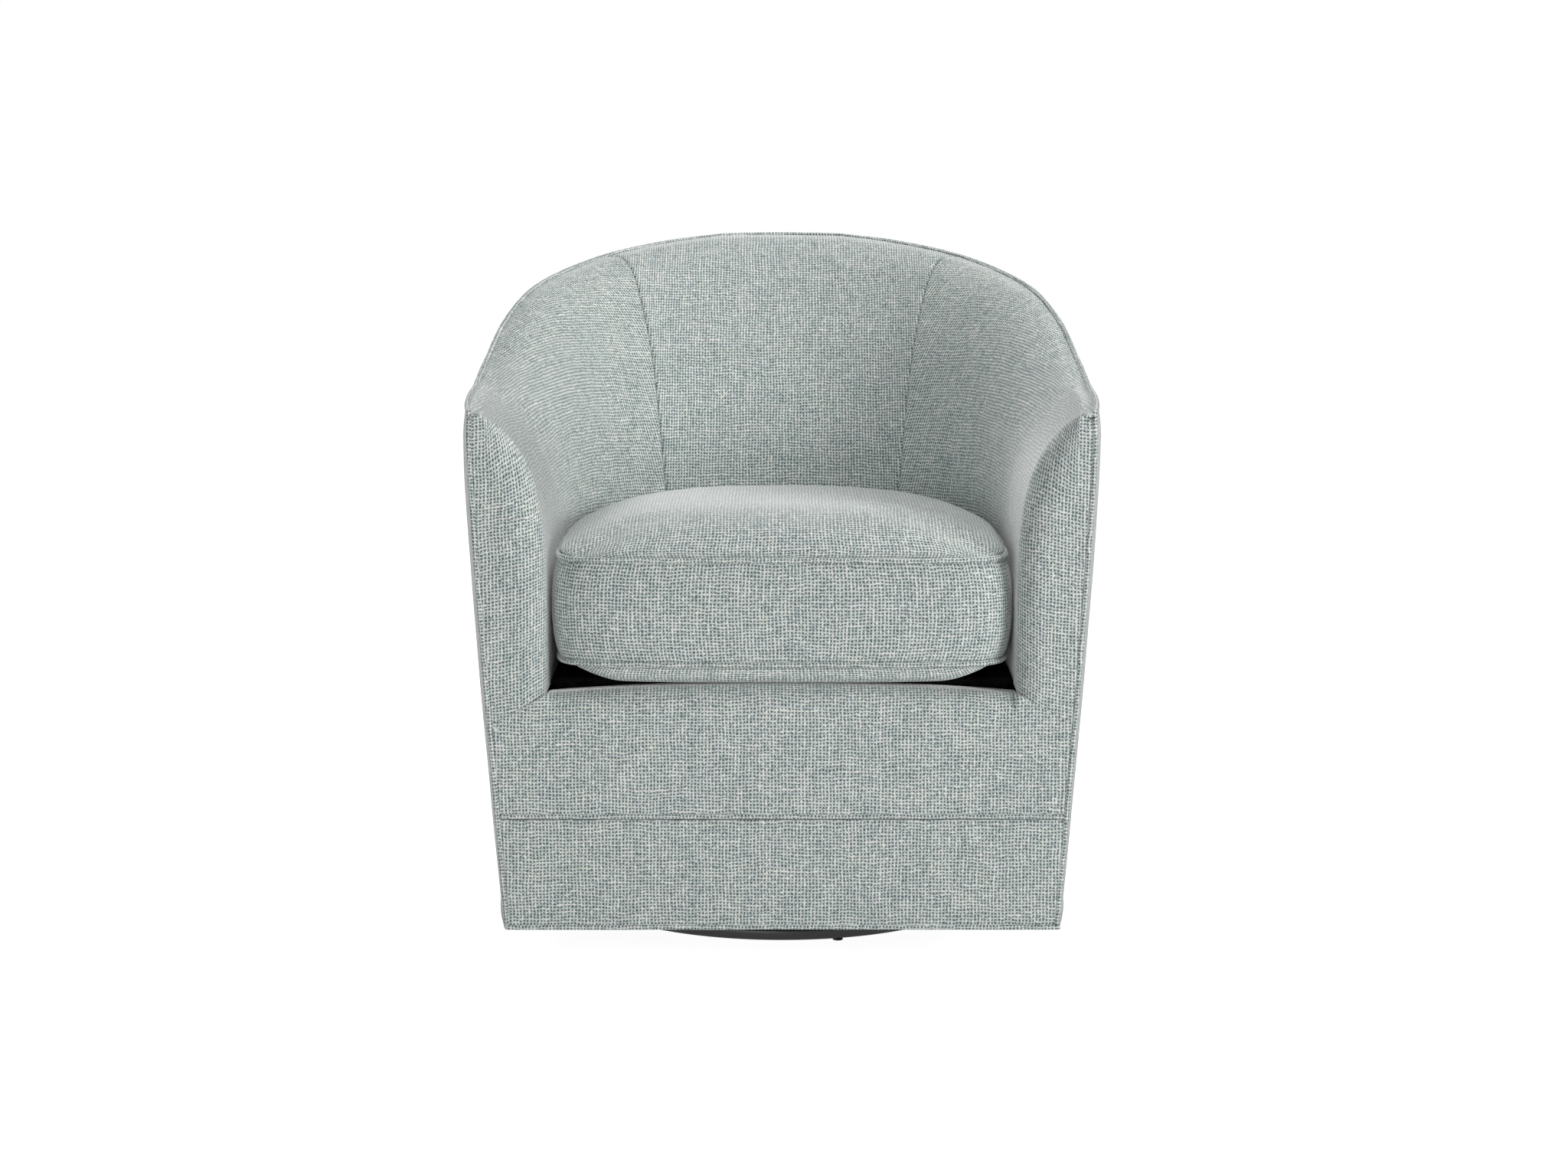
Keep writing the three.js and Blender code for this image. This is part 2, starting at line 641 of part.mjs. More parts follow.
function addFrame() {
  const seam = seamStation;
  const half = postThickness / 2 / wallLength;
  const frontFaceInset = weltOut + borderThickness + gap;
  const railInset = panelThickness + wallGap + boardThickness + woodGap;
  const low = () => frameBottom;
  const high = () => bottomRailTop;
  const postLow = () => bottomRailTop + woodGap;
  const postHigh = (s) => topRailLow(s) - postTopDrop;
  const jointGap = woodGap / 2 / wallLength;
  const frontEnd = stationAt(frontFaceInset, hemShape);
  const railFront = stationAt(frontPadBack - front + gap, rimShape);
  const seatFront = stationAt(frontPadBack - front + gap, seatShape);
  for (const [side, name] of [[-1, "left"], [1, "right"]]) {
    const span = (q0, q1) => (side > 0 ? [q0, q1] : [-q1, -q0]);
    const walk = (q0, q1, ...rest) => outerBoard(...span(q0, q1), ...rest);
    add(`bottom_rail_${name}`, walk(seam + jointGap, frontEnd, low, high, boardThickness), "wood");
    add(`seat_rail_${name}`, seatBoard(...span(seam + jointGap, seatFront)), "wood");
    add(`front_post_${name}`, frontPost(side), "wood");
    const post = walk(seam - half, seam + half, postLow, postHigh, postDepth, postRows);
    add(`back_post_${name}`, post, "wood");
    const armRail = walk(seam + jointGap, railFront, topRailLow, topRailTop, topRailWidth);
    add(`arm_rail_${name}`, armRail, "wood");
  }
  const backSpan = [jointGap - seam, seam - jointGap];
  add("bottom_rail_back", outerBoard(...backSpan, low, high, boardThickness), "wood");
  add("seat_rail_back", seatBoard(...backSpan), "wood");
  add("top_back_rail", outerBoard(...backSpan, topRailLow, topRailTop, topRailWidth), "wood");

  const frontFace = front + frontFaceInset;
  const x = outerPoint(1, frameBottom, railInset).x;
  const frontRail = box(-x, x, frontFace, frontFace + boardThickness, frameBottom, bottomRailTop);
  add("bottom_rail_front", frontRail, "wood");
  const seatX = seatHalfWidth + padThickness - seatRailWidth - woodGap;
  const seatY = frontPadBack + gap;
  const seatRail = box(-seatX, seatX, seatY, seatY + boardThickness, seatRailBottom, seatRailTop);
  add("seat_rail_front", seatRail, "wood");

  for (const [way, name] of [[-1, "front"], [1, "back"]]) {
    const middle = way * screwCircleRadius * Math.sin(degrees(screwAngles[0]));
    const y0 = middle - swivelBoardWidth / 2;
    const y1 = middle + swivelBoardWidth / 2;
    const x0 = halfWidthAt(y0, (s) => outerPoint(s, frameBottom, railInset));
    const x1 = halfWidthAt(y1, (s) => outerPoint(s, frameBottom, railInset));
    const corners = [[-x0, y0], [x0, y0], [x1, y1], [-x1, y1]].map((p) => new THREE.Vector2(...p));
    const board = flatShape(corners, frameBottom, frameBottom + boardThickness);
    const tip = upperFlange - plateThickness + screwLength;
    const holes = [screwPlaces, screwRadius + woodGap, frameBottom - overrun, tip];
    add(`swivel_board_${name}`, drilled(board, ...holes), "wood");
  }
}

// Sinuous springs from the front seat rail to the rail behind
function addSprings() {
  for (let i = 0; i < springCount; i++) {
    const x = (i - (springCount - 1) / 2) * springSpacing;
    const reach = (1 - (Math.abs(x) / seatHalfWidth) ** seatPower) ** (1 / seatPower);
    const yBack = front + seatStraight + (seatDepth - seatStraight) * reach + seatRailWidth / 2;
    const yFront = frontPadBack + gap + boardThickness / 2;
    const waves = Math.floor((yBack - yFront) / springPitch);
    const step = (yBack - yFront) / waves / 2;
    const z = seatRailTop + woodGap + wireRadius;
    const points = [];
    for (let k = 0; k <= 2 * waves; k++) {
      const way = k % 2 === 0 ? -1 : 1;
      const y = yFront + step * k;
      points.push(new THREE.Vector3(x + way * springHalfWidth, y, z));
      if (k < 2 * waves) points.push(new THREE.Vector3(x - way * springHalfWidth, y, z));
    }
    add(`seat_spring_${i + 1}`, cord(points, wireRadius, wireSides, false), "steel");
  }
}

const coverRows = bulgeHeightShares;
function outsidePanel(s0, s1) {
  const level = (s, t) => lerp(coverBottom, rimHeight(s) - weltRadius - gap, t);
  const grid = (inset) => coverRows.map((t) => between(s0, s1).map((s) => outerPoint(s, level(s, t), inset)));
  return slab(grid(0), grid(panelThickness));
}

const faceY = front + weltOut;
const edgeX = (z, inset) => outerPoint(1, z, inset).x;

// The seam that slopes from the seat's front corner down to the outer edge
const slopeBottom = seatHeight - slopeDrop;
const slopeHeight = (x) => {
  const run = edgeX(slopeBottom, weltRoom) - seatHalfWidth;
  return seatHeight - (slopeDrop * (Math.abs(x) - seatHalfWidth)) / run;
};

// The inside arm with its foam, round the front of the arm to the corner cord
function armPad(side) {
  const rows = armOutShares.length - 1;
  const rearY = frontPadBack;
  const seamEnd = seamStation + gap / 2 / wallLength;
  const armStations = between(seamEnd, stations[stations.length - 2]);
  const facePoints = [];
  const rearPoints = [];
  const section = (v, depth) => innerPoint(1, v, depth);
  for (let i = 0; i <= rows; i++) {
    const v = i / rows;
    const face = armStations.map((q) => innerPoint(q, v, 0));
    const rear = armStations.map((q) => innerPoint(q, v, 1));
    const here = section(v, 0);
    const behind = section(v, 1);
    const above = section(Math.min(v + 1 / rows, 1), 0);
    const below = section(Math.max(v - 1 / rows, 0), 0);
    const along = above.clone().sub(below).normalize();
    const into = new THREE.Vector3(along.z, 0, -along.x); // from the seat space into the arm
    const radius = rollRadius * rollShares[i];
    const out = armOutShares[i];
    for (let k = 0; k <= rollSteps; k++) {
      const a = (Math.PI / 2) * (k / rollSteps);
      const depth = radius * (1 - Math.sin(a)) + (rollSteps - k) * rollEase;
      const q = 1 - ((1 - curveShare) * depth) / lerp(seatStraight, rimStraight, out);
      const p = innerPoint(q, v, 0).addScaledVector(into, radius * (1 - Math.cos(a)));
      if (i === 0) p.z = slopeHeight(p.x) + gap;
      face.push(new THREE.Vector3(p.x, faceY + depth, p.z));
      const rearZ = i === 0 ? slopeHeight(behind.x) + gap : behind.z;
      rear.push(new THREE.Vector3(behind.x, rearY + (rollSteps - k) * rearEase, rearZ));
    }
    const lowEdge = slopeBottom + gap;
    const edgeZ = lerp(lowEdge, armHeight, edgeShares[i]);
    const from = face[face.length - 1];
    const rearFrom = rear[rear.length - 1];
    const edge = i === rows ? from : new THREE.Vector3(edgeX(edgeZ, weltRoom), faceY, edgeZ);
    const lowered = new THREE.Vector3(edgeX(edgeZ, weltRoom), rearY, Math.min(edgeZ, rearFrom.z));
    const rearEdge = i === rows ? rearFrom : lowered;
    for (let k = 1; k <= faceSteps; k++) {
      face.push(from.clone().lerp(edge, k / faceSteps));
      rear.push(rearFrom.clone().lerp(rearEdge, k / faceSteps));
    }
    const mirror = (p) => new THREE.Vector3(side * p.x, p.y, p.z);
    facePoints.push(face.map(mirror));
    rearPoints.push(rear.map(mirror));
  }
  return slab(facePoints, rearPoints);
}

function backPad() {
  const rows = armOutShares.length - 1;
  const end = seamStation - gap / 2 / wallLength;
  const grid = (depth) => Array.from({ length: rows + 1 }, (_, i) => (
    between(-end, end).map((s) => innerPoint(s, i / rows, depth))
  ));
  return slab(grid(0), grid(1));
}

// A body lofted through sections that each have the same number of points
function loft(sections) {
  const triangles = [];
  const count = sections[0].length;
  for (let i = 0; i < sections.length - 1; i++) {
    for (let k = 0; k < count; k++) {
      const n = (k + 1) % count;
      const [a, b, c, d] = [sections[i][k], sections[i + 1][k], sections[i + 1][n], sections[i][n]];
      triangles.push(a, b, c, a, c, d);
    }
  }
  const last = sections[sections.length - 1];
  for (let k = 1; k < count - 1; k++) {
    triangles.push(sections[0][0], sections[0][k], sections[0][k + 1]);
    triangles.push(last[0], last[k + 1], last[k]);
  }
  return outwardFacing(solid(triangles));
}

// The padded front rail: a front face with a rounded top that runs back over the rail between the arms
function frontRailPad() {
  const low = railSeamHeight + weltRadius + gap;
  const overBack = front + frontPadReach;
  const overBottom = deckBottom;
  const inner = seatHalfWidth - gap;
  const section = (x, isOver) => {
    const share = Math.min(Math.abs(x) / inner, 1);
    const top = isOver ? seatHeight + frontCrown * (1 - share ** 2) : slopeHeight(x);
    const radius = isOver ? frontTopRadius : frontEdgeRadius;
    const arc = quarter(radius).map(([inwards, down]) => [faceY + inwards, top - down]);
    const tail = isOver
      ? [[overBack, top], [overBack, overBottom], [frontPadBack, overBottom]]
      : [[frontPadBack - 2 * slabStep, top], [frontPadBack - slabStep, top], [frontPadBack, top]];
    const bottomX = Math.sign(x) * Math.min(Math.abs(x), edgeX(low, weltRoom));
    const points = [[frontPadBack, low], [faceY, low], [faceY, (low + top) / 2], ...arc, ...tail];
    return points.map(([y, z]) => {
      const limit = edgeX(Math.min(z, slopeBottom), weltRoom);
      return new THREE.Vector3(clamp(x, -limit, limit), y, z);
    }).map((p) => (p.z > low ? p : new THREE.Vector3(bottomX, p.y, p.z)));
  };
  const outerX = edgeX(slopeBottom, weltRoom);
  const half = railShares.map((f) => [inner * f, true]);
  half.push([inner + slabStep, false], [outerX, false]);
  const all = [...half.slice(1).reverse().map(([x, over]) => [-x, over]), ...half];
  return loft(all.map(([x, over]) => section(x, over)));
}

function borderPanel() {
  const low = coverBottom;
  const high = railSeamHeight - weltRadius - gap;
  const grid = (y) => borderShares.map((t) => {
    const z = lerp(low, high, t);
    return acrossShares.map((f) => new THREE.Vector3(f * edgeX(z, weltRoom), y, z));
  });
  return slab(grid(faceY), grid(faceY + borderThickness));
}

function flatShape(points, low, high) {
  const shape = new THREE.Shape(points.map((p) => new THREE.Vector2(p.x, p.y)));
  return new THREE.ExtrudeGeometry(shape, { depth: high - low, bevelEnabled: false }).translate(0, 0, low);
}

function addCovers() {
  const seamGap = gap / 2 / wallLength;
  const panelFront = stationAt(2 * weltRadius + gap, rimShape);
  add("outside_back_panel", outsidePanel(-seamStation + seamGap, seamStation - seamGap), "fabric");
  add("outside_arm_panel_left", outsidePanel(-panelFront, -seamStation - seamGap), "fabric");
  add("outside_arm_panel_right", outsidePanel(seamStation + seamGap, panelFront), "fabric");
  add("inside_back_pad", backPad(), "fabric");
  add("inside_arm_pad_left", armPad(-1), "fabric");
  add("inside_arm_pad_right", armPad(1), "fabric");
  add("front_rail_pad", frontRailPad(), "fabric");
  add("front_border_panel", borderPanel(), "fabric");

  const deckFront = stationAt(frontPadReach + gap, seatShape);
  const deckEdge = between(-deckFront, deckFront).map((s) => (
    planPoint(s, seatShape).addScaledVector(outward(s, seatShape), -gap)
  ));
  add("seat_deck", flatShape(deckEdge, deckBottom, deckTop), "lining");

  const coverFront = stationAt(weltOut + borderThickness + gap, hemShape);
  const dustInset = panelThickness + gap + dustSetback;
  const dustEdge = between(-coverFront, coverFront).map((s) => outerPoint(s, coverBottom, dustInset));
  const dustLow = frameBottom - gap - dustCoverThickness;
  const dustHigh = dustLow + dustCoverThickness;
  const dustSheet = toManifold(flatShape(dustEdge, dustLow, dustHigh));
  const holeEnds = [dustLow - overrun, dustHigh + overrun];
  const dustHole = cylinder(flangeRadius + dustMargin, ...holeEnds, roundSides, 0, 0);
  add("dust_cover", fromManifold(dustSheet.subtract(toManifold(dustHole))), "lining");
}

function addCords() {
  const centre = weltRadius - weltOut; // inset of a cord's middle from the cover's face
  const cordY = front + weltRadius;
  const corner = (side, z) => new THREE.Vector3(side * edgeX(z, centre), cordY, z);
  const rises = edgeRiseShares.map((t) => lerp(coverBottom, armHeight, t));
  const rim = between(-1, 1).slice(1, -1).map((s) => outerPoint(s, rimHeight(s), centre));
  const rimPath = [
    ...rises.map((z) => corner(-1, z)), ...rim, ...rises.reverse().map((z) => corner(1, z)),
  ];
  add("rim_welt", cord(rimPath, weltRadius, weltSides, false), "fabric");

  const hem = between(-1, 1).slice(1, -1).map((s) => outerPoint(s, hemWeltHeight, centre));
  const hemPath = [corner(-1, hemWeltHeight), ...hem, corner(1, hemWeltHeight)];
  add("hem_welt", cord(hemPath, weltRadius, weltSides, true), "fabric");

  const railX = edgeX(railSeamHeight, weltRoom);
  const railPath = acrossShares.map((f) => new THREE.Vector3(f * railX, cordY, railSeamHeight));
  add("rail_welt", cord(railPath, weltRadius, weltSides, false), "fabric");
}

// The cushion in plan: square corners in front, round behind
const cushionFrontReach = seatStraight - cushionSetback;
const cushionBackReach = seatDepth - seatStraight - cushionBackGap;
function cushionEdge(k, inset) {
  const a = (2 * Math.PI * k) / cushionSides;
  const [c, s] = [Math.cos(a), Math.sin(a)];
  const isBack = s > 0;
  const power = 2 / (isBack ? seatPower : cushionFrontPower);
  const reach = (isBack ? cushionBackReach : cushionFrontReach) - inset;
  const halfWidth = seatHalfWidth - cushionSideGap - inset;
  return [
    Math.sign(c) * halfWidth * Math.abs(c) ** power,
    front + seatStraight + Math.sign(s) * reach * Math.abs(s) ** power,
  ];
}

function addCushion() {
  const ring = (inset, share, z) => Array.from({ length: cushionSides }, (_, k) => {
    const [x, y] = cushionEdge(k, inset);
    const middle = front + seatStraight;
    return new THREE.Vector3(x * share, middle + (y - middle) * share, z);
  });
  const crown = (share) => 1 - share ** crownPower;
  const seam = cushionSeamInset;
  const rings = [];
  crownShares.forEach((f) => {
    rings.push(ring(seamLip, f, cushionLowWelt - cushionSeamRise - cushionLowCrown * crown(f)));
  });
  rings.push(ring(seam, 1, cushionLowWelt));
  sideShares.forEach((t) => {
    const z = lerp(cushionLowWelt + cushionSeamRise, cushionHighWelt - cushionSeamRise, t);
    rings.push(ring(seamLip - cushionBulge * 4 * t * (1 - t), 1, z));
  });
  rings.push(ring(seam, 1, cushionHighWelt));
  [...crownShares].reverse().forEach((f) => {
    rings.push(ring(seamLip, f, cushionHighWelt + cushionSeamRise + cushionTopCrown * crown(f)));
  });
  const middle = front + seatStraight;
  const low = new THREE.Vector3(0, middle, cushionLowWelt - cushionSeamRise - cushionLowCrown);
  const high = new THREE.Vector3(0, middle, cushionHighWelt + cushionSeamRise + cushionTopCrown);
  const triangles = [];
  for (let k = 0; k < cushionSides; k++) {
    const n = (k + 1) % cushionSides;
    for (let i = 0; i < rings.length - 1; i++) {
      const [a, b] = [rings[i], rings[i + 1]];
      triangles.push(a[k], a[n], b[n], a[k], b[n], b[k]);
    }
    triangles.push(low, rings[0][n], rings[0][k]);
    triangles.push(high, rings[rings.length - 1][k], rings[rings.length - 1][n]);
  }
  add("seat_cushion", outwardFacing(solid(triangles)), "fabric");
  for (const [name, z] of [["low", cushionLowWelt], ["high", cushionHighWelt]]) {
    const welt = cord(ring(cushionWeltInset, 1, z), weltRadius, weltSides, true);
    add(`cushion_${name}_welt`, welt, "fabric");
  }
}

addBase();
addSwivel();
addFrame();
addSprings();
addCovers();
addCords();
addCushion();

export default chair;
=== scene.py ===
# Swivel barrel chair in a coarse pale weave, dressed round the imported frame.
# Metres, +Z up. The chair faces -Y, and +X is on the right of the picture.
import json
import math

import bmesh
import bpy
from mathutils import Matrix, Vector, noise


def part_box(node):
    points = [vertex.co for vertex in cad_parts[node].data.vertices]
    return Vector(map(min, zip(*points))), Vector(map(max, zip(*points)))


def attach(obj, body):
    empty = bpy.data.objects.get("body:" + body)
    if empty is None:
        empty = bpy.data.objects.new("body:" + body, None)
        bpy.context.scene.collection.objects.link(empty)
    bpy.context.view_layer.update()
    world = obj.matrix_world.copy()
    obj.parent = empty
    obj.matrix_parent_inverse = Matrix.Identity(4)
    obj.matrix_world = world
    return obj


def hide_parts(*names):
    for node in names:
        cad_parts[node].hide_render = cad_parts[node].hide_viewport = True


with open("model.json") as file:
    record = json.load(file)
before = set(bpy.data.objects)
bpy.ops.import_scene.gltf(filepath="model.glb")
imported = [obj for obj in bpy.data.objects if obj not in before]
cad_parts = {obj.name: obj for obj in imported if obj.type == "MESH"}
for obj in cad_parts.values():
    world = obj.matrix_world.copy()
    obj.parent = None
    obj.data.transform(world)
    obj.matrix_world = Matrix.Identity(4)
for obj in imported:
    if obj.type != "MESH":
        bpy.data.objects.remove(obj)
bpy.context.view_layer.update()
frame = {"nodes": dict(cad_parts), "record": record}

# The camera, solved from the round base, the level cords and the outline in the photo
view = {
    "place": (0.0024, -3.930, 0.9733),
    "degreesDown": 8.23,
    "focalPixels": 4000,
    "imagePixels": 2048,
    "sensorWidth": 36,  # mm
}


def setAll(thing, **settings):
    for name, value in settings.items():
        setattr(thing, name, value)


def addCamera():
    lens = bpy.data.cameras.new("camera")
    lens.sensor_width = view["sensorWidth"]
    lens.lens = view["focalPixels"] / view["imagePixels"] * view["sensorWidth"]
    camera = bpy.data.objects.new("camera", lens)
    bpy.context.scene.collection.objects.link(camera)
    camera.location = view["place"]
    camera.rotation_euler = (math.radians(90 - view["degreesDown"]), 0, 0)
    bpy.context.scene.camera = camera


# Sizes that every cover shares, as the frame has them
chair = {
    "front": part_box("hem_welt")[0].y,
    "armHeight": 0.667,
    "armRise": 0.008,  # of an arm's rim from the front corner to the curve
    "backHeight": 0.849,
    "hemHeight": 0.053,
    "seatHeight": 0.336,
    "weltRadius": 0.0032,
    "weltOut": 0.0012,  # how far a corner cord stands out from the cover beside it
    "seamGap": 0.0004,
    "sideBulge": 0.0125,
    "backBulge": 0.009,
    "cornerBulge": 0.005,
    "curveShare": 0.73,  # of the walk from the back's middle to a front corner
    "squareFrom": 0.93,  # of that walk, from which the way out turns square to the side
    "armTurn": 8,  # degrees of the curve below which a section is an arm's
    "backTurn": 62,  # and above which it is the back's
}
rimPlan = {"half": 0.384, "corner": 0.3635, "straight": 0.270, "depth": 0.7988, "turn": 0, "power": 2}
hemPlan = {"half": 0.3485, "corner": 0.327, "straight": 0.250, "depth": 0.700, "turn": 0, "power": 2}
seatPlan = {"half": 0.276, "corner": 0.276, "straight": 0.200, "depth": 0.530, "turn": 11, "power": 2.5}
weltRoom = 2 * chair["weltRadius"] - chair["weltOut"] + chair["seamGap"]
weltCentre = chair["weltRadius"] - chair["weltOut"]
faceY = chair["front"] + chair["weltOut"]
cordY = chair["front"] + chair["weltRadius"]
nudge = 0.004  # of a walk or a height, over which a direction is measured
joinGap = 1e-5  # corners nearer than this become one
tiny = 1e-6


def lerp(a, b, t):
    return a + (b - a) * t


def clamp(value, low, high):
    return min(max(value, low), high)


def ease(low, high, x):
    t = clamp((x - low) / (high - low), 0, 1)
    return t * t * (3 - 2 * t)


def shares(count):  # from 0 to 1 in even steps
    return [i / count for i in range(count + 1)]


def lengthsOf(points):  # metres along the points from the first to each
    lengths = [0.0]
    for a, b in zip(points, points[1:]):
        lengths.append(lengths[-1] + (b - a).length)
    return lengths


def evenSpots(points, count):  # where even steps along the points fall: an index and the share of the way to the next
    lengths, i = lengthsOf(points), 0
    for share in range(count + 1):
        target = lengths[-1] * share / count
        while i < len(points) - 2 and lengths[i + 1] < target:
            i += 1
        yield i, (target - lengths[i]) / (lengths[i + 1] - lengths[i])


def evenLine(points, count):  # the same line with points an equal way apart
    return [points[i].lerp(points[i + 1], t) for i, t in evenSpots(points, count)]


def curveThrough(values, places=None):  # a smooth line through values that never swings past them
    xs = places or shares(len(values) - 1)
    rises = [(b - a) / (x1 - x0) for a, b, x0, x1 in zip(values, values[1:], xs, xs[1:])]
    slopes = [rises[0]]
    for a, b in zip(rises, rises[1:]):
        slopes.append(2 * a * b / (a + b) if a * b > 0 else 0)
    slopes.append(rises[-1])

    def at(x):
        x = clamp(x, xs[0], xs[-1])
        i = 1
        while i < len(xs) - 1 and x > xs[i]:
            i += 1
        step = xs[i] - xs[i - 1]
        t = (x - xs[i - 1]) / step
        start = values[i - 1] * (1 + 2 * t) * (1 - t) ** 2 + slopes[i - 1] * step * t * (1 - t) ** 2
        return start + values[i] * t * t * (3 - 2 * t) - slopes[i] * step * t * t * (1 - t)

    return at


bulgeAt = curveThrough([0, 0.34, 0.64, 0.88, 1, 0.96, 0.74, 0], [0, 0.17, 0.33, 0.5, 0.67, 0.83, 0.93, 1])
armOut = curveThrough([0, 0, 0.02, 0.07, 0.2, 0.42, 0.68, 0.87, 1])
armUp = curveThrough([0, 0.25, 0.5, 0.64, 0.78, 0.89, 0.965, 0.995, 1])
backOut = curveThrough([0, 0, 0.1, 0.23, 0.4, 0.56, 0.73, 0.89, 1])
backUp = curveThrough([0, 0.26, 0.41, 0.56, 0.73, 0.85, 0.95, 0.995, 1])
rollAt = curveThrough([0.71, 0.71, 0.76, 0.86, 1, 0.9, 0.46, 0, 0])
edgeAt = curveThrough([0, 0.27, 0.49, 0.61, 0.72, 0.81, 0.87, 0.935, 1])


def rimHeights():
    share, low = chair["curveShare"], chair["armHeight"] + chair["armRise"]
    rises = [0, 0.152, 0.416, 0.624, 0.746, 0.844, 0.913, 0.965, 0.996, 1]
    places = [share * (1 - i / (len(rises) - 1)) for i in range(len(rises))]
    heights = [lerp(low, chair["backHeight"], rise) for rise in rises]
    for f in (2 / 3, 1 / 3, 0):  # the arm's straight part
        places.insert(0, 1 - (1 - share) * f)
        heights.insert(0, chair["armHeight"] + chair["armRise"] * f * f)
    return sorted(zip(places, heights))


rimAt = curveThrough([h for _, h in rimHeights()], [p for p, _ in rimHeights()])


# A walk round a plan: 0 at the back's middle, 1 and -1 at the front corners
def planPoint(walk, plan):
    q = min(abs(walk), 1)
    share = chair["curveShare"]
    side = -1 if walk < 0 else 1
    if q >= share:
        f = (1 - q) / (1 - share)
        half = lerp(plan["corner"], plan["half"], f * (2 - f))
        return Vector((side * half, chair["front"] + plan["straight"] * f, 0))
    turn = math.pi / 2 * (1 - q / share)
    a = turn + math.radians(plan["turn"]) * math.sin(2 * turn)
    x = plan["half"] * max(math.cos(a), 0) ** (2 / plan["power"])
    reach = plan["depth"] - plan["straight"]
    y = chair["front"] + plan["straight"] + reach * math.sin(a) ** (2 / plan["power"])
    return Vector((side * x, y, 0))


def outward(walk, plan):
    along = (planPoint(walk + nudge, plan) - planPoint(walk - nudge, plan)).normalized()
    square = ease(chair["squareFrom"], 1, abs(walk))
    normal = Vector((-along.y, along.x, 0)).lerp(Vector((-1 if walk < 0 else 1, 0, 0)), square)
    return normal.normalized()


def rimHeight(walk):
    return rimAt(min(abs(walk), 1))


def outerPoint(walk, z, inset=0.0):
    t = clamp((z - chair["hemHeight"]) / (rimHeight(walk) - chair["hemHeight"]), 0, 1)
    q = abs(walk)
    side = lerp(chair["sideBulge"], chair["backBulge"], ease(0, chair["curveShare"], chair["curveShare"] - q))
    fullness = lerp(chair["cornerBulge"], side, ease(0, 1 - chair["curveShare"], 1 - q))
    point = planPoint(walk, hemPlan).lerp(planPoint(walk, rimPlan), t)
    point += outward(walk, rimPlan) * (bulgeAt(t) * fullness - inset)
    point.z = z
    return point


def innerPoint(walk, v):  # v goes from the seat up to the rim
    turn = 90 * (1 - min(abs(walk) / chair["curveShare"], 1))
    backness = ease(chair["armTurn"], chair["backTurn"], turn)
    out = lerp(armOut(v), backOut(v), backness)
    up = lerp(armUp(v), backUp(v), backness)
    low = planPoint(walk, seatPlan)
    high = planPoint(walk, rimPlan) - outward(walk, rimPlan) * coverRoom
    point = low.lerp(high, out)
    point.z = lerp(chair["seatHeight"], rimHeight(walk), up)
    return point


def edgeX(z, inset):
    return outerPoint(1, z, inset).x


# Making the pieces
def addObject(name, shape, material):
    mesh = bpy.data.meshes.new(name)
    shape.to_mesh(mesh)
    shape.free()
    mesh.materials.append(material)
    made = bpy.data.objects.new(name, mesh)
    bpy.context.scene.collection.objects.link(made)
    return made


def addPiece(name, shape, material, body):
    piece = addObject(name, shape, material)
    piece.data.shade_smooth()
    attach(piece, body)
    return piece


def joinCorners(shape, gap=joinGap):
    bmesh.ops.remove_doubles(shape, verts=shape.verts[:], dist=gap)


def faceOutwards(shape):
    bmesh.ops.recalc_face_normals(shape, faces=shape.faces[:])


def crowd(t, amount):  # moves steps from 0 to 1 towards both ends
    return t - amount * math.sin(2 * math.pi * t) / (2 * math.pi)


def crowdStart(t, amount):
    return t * (1 - amount) + amount * t * t


def measureGrid(corners):  # metres along each row from its start, and up each column from its foot
    points = [[corner.co.copy() for corner in row] for row in corners]
    return [lengthsOf(row) for row in points], list(zip(*[lengthsOf(column) for column in zip(*points)]))


def mappedGrid(columns, rows, place):  # a grid whose corners are pushed to place(across, up)
    shape = bmesh.new()
    corners = bmesh.ops.create_grid(shape, x_segments=columns, y_segments=rows, size=0.5)["verts"]
    for corner in corners:
        corner.co = place(corner.co.x + 0.5, corner.co.y + 0.5)
    points = [[corners[r * (columns + 1) + c] for c in range(columns + 1)] for r in range(rows + 1)]
    return shape, points


# Sinks the grid's edges into their seams, and lets the cloth pucker a little beside them
def sinkSeams(shape, corners, along, up, cover):
    shape.normal_update()
    normals = [[corner.normal.copy() for corner in row] for row in corners]
    lastRow, lastColumn = len(corners) - 1, len(corners[0]) - 1
    for r, row in enumerate(corners):
        for c, corner in enumerate(row):
            away = {
                "start": along[r][c],
                "end": along[r][lastColumn] - along[r][c],
                "foot": up[r][c],
                "head": up[lastRow][c] - up[r][c],
            }
            calm = min((ease(0, reach, (corner.co - spot).length) for spot, reach in cover["calm"]), default=1)
            sink = noise.noise(corner.co * cover["swellRate"]) * cover["swell"]
            pucker = noise.noise(corner.co * cover["puckerRate"]) * cover["pucker"]
            for edge, (depth, width) in cover["seams"].items():
                near = max(1 - away[edge] / width, 0)
                sink += depth * near * near
                sink += pucker * math.exp(-((away[edge] / cover["puckerReach"]) ** 2)) * (1 - near)
            corner.co -= normals[r][c] * sink * calm


def layOn(faces, layer, cloth):  # the weave follows these coordinates, in metres
    for face in faces:
        for loop in face.loops:
            loop[layer].uv = cloth[loop.vert]


def layCloth(shape, corners, cloth):
    at = {corner: cloth[r][c] for r, row in enumerate(corners) for c, corner in enumerate(row)}
    layOn(shape.faces, shape.loops.layers.uv.new("cloth"), at)


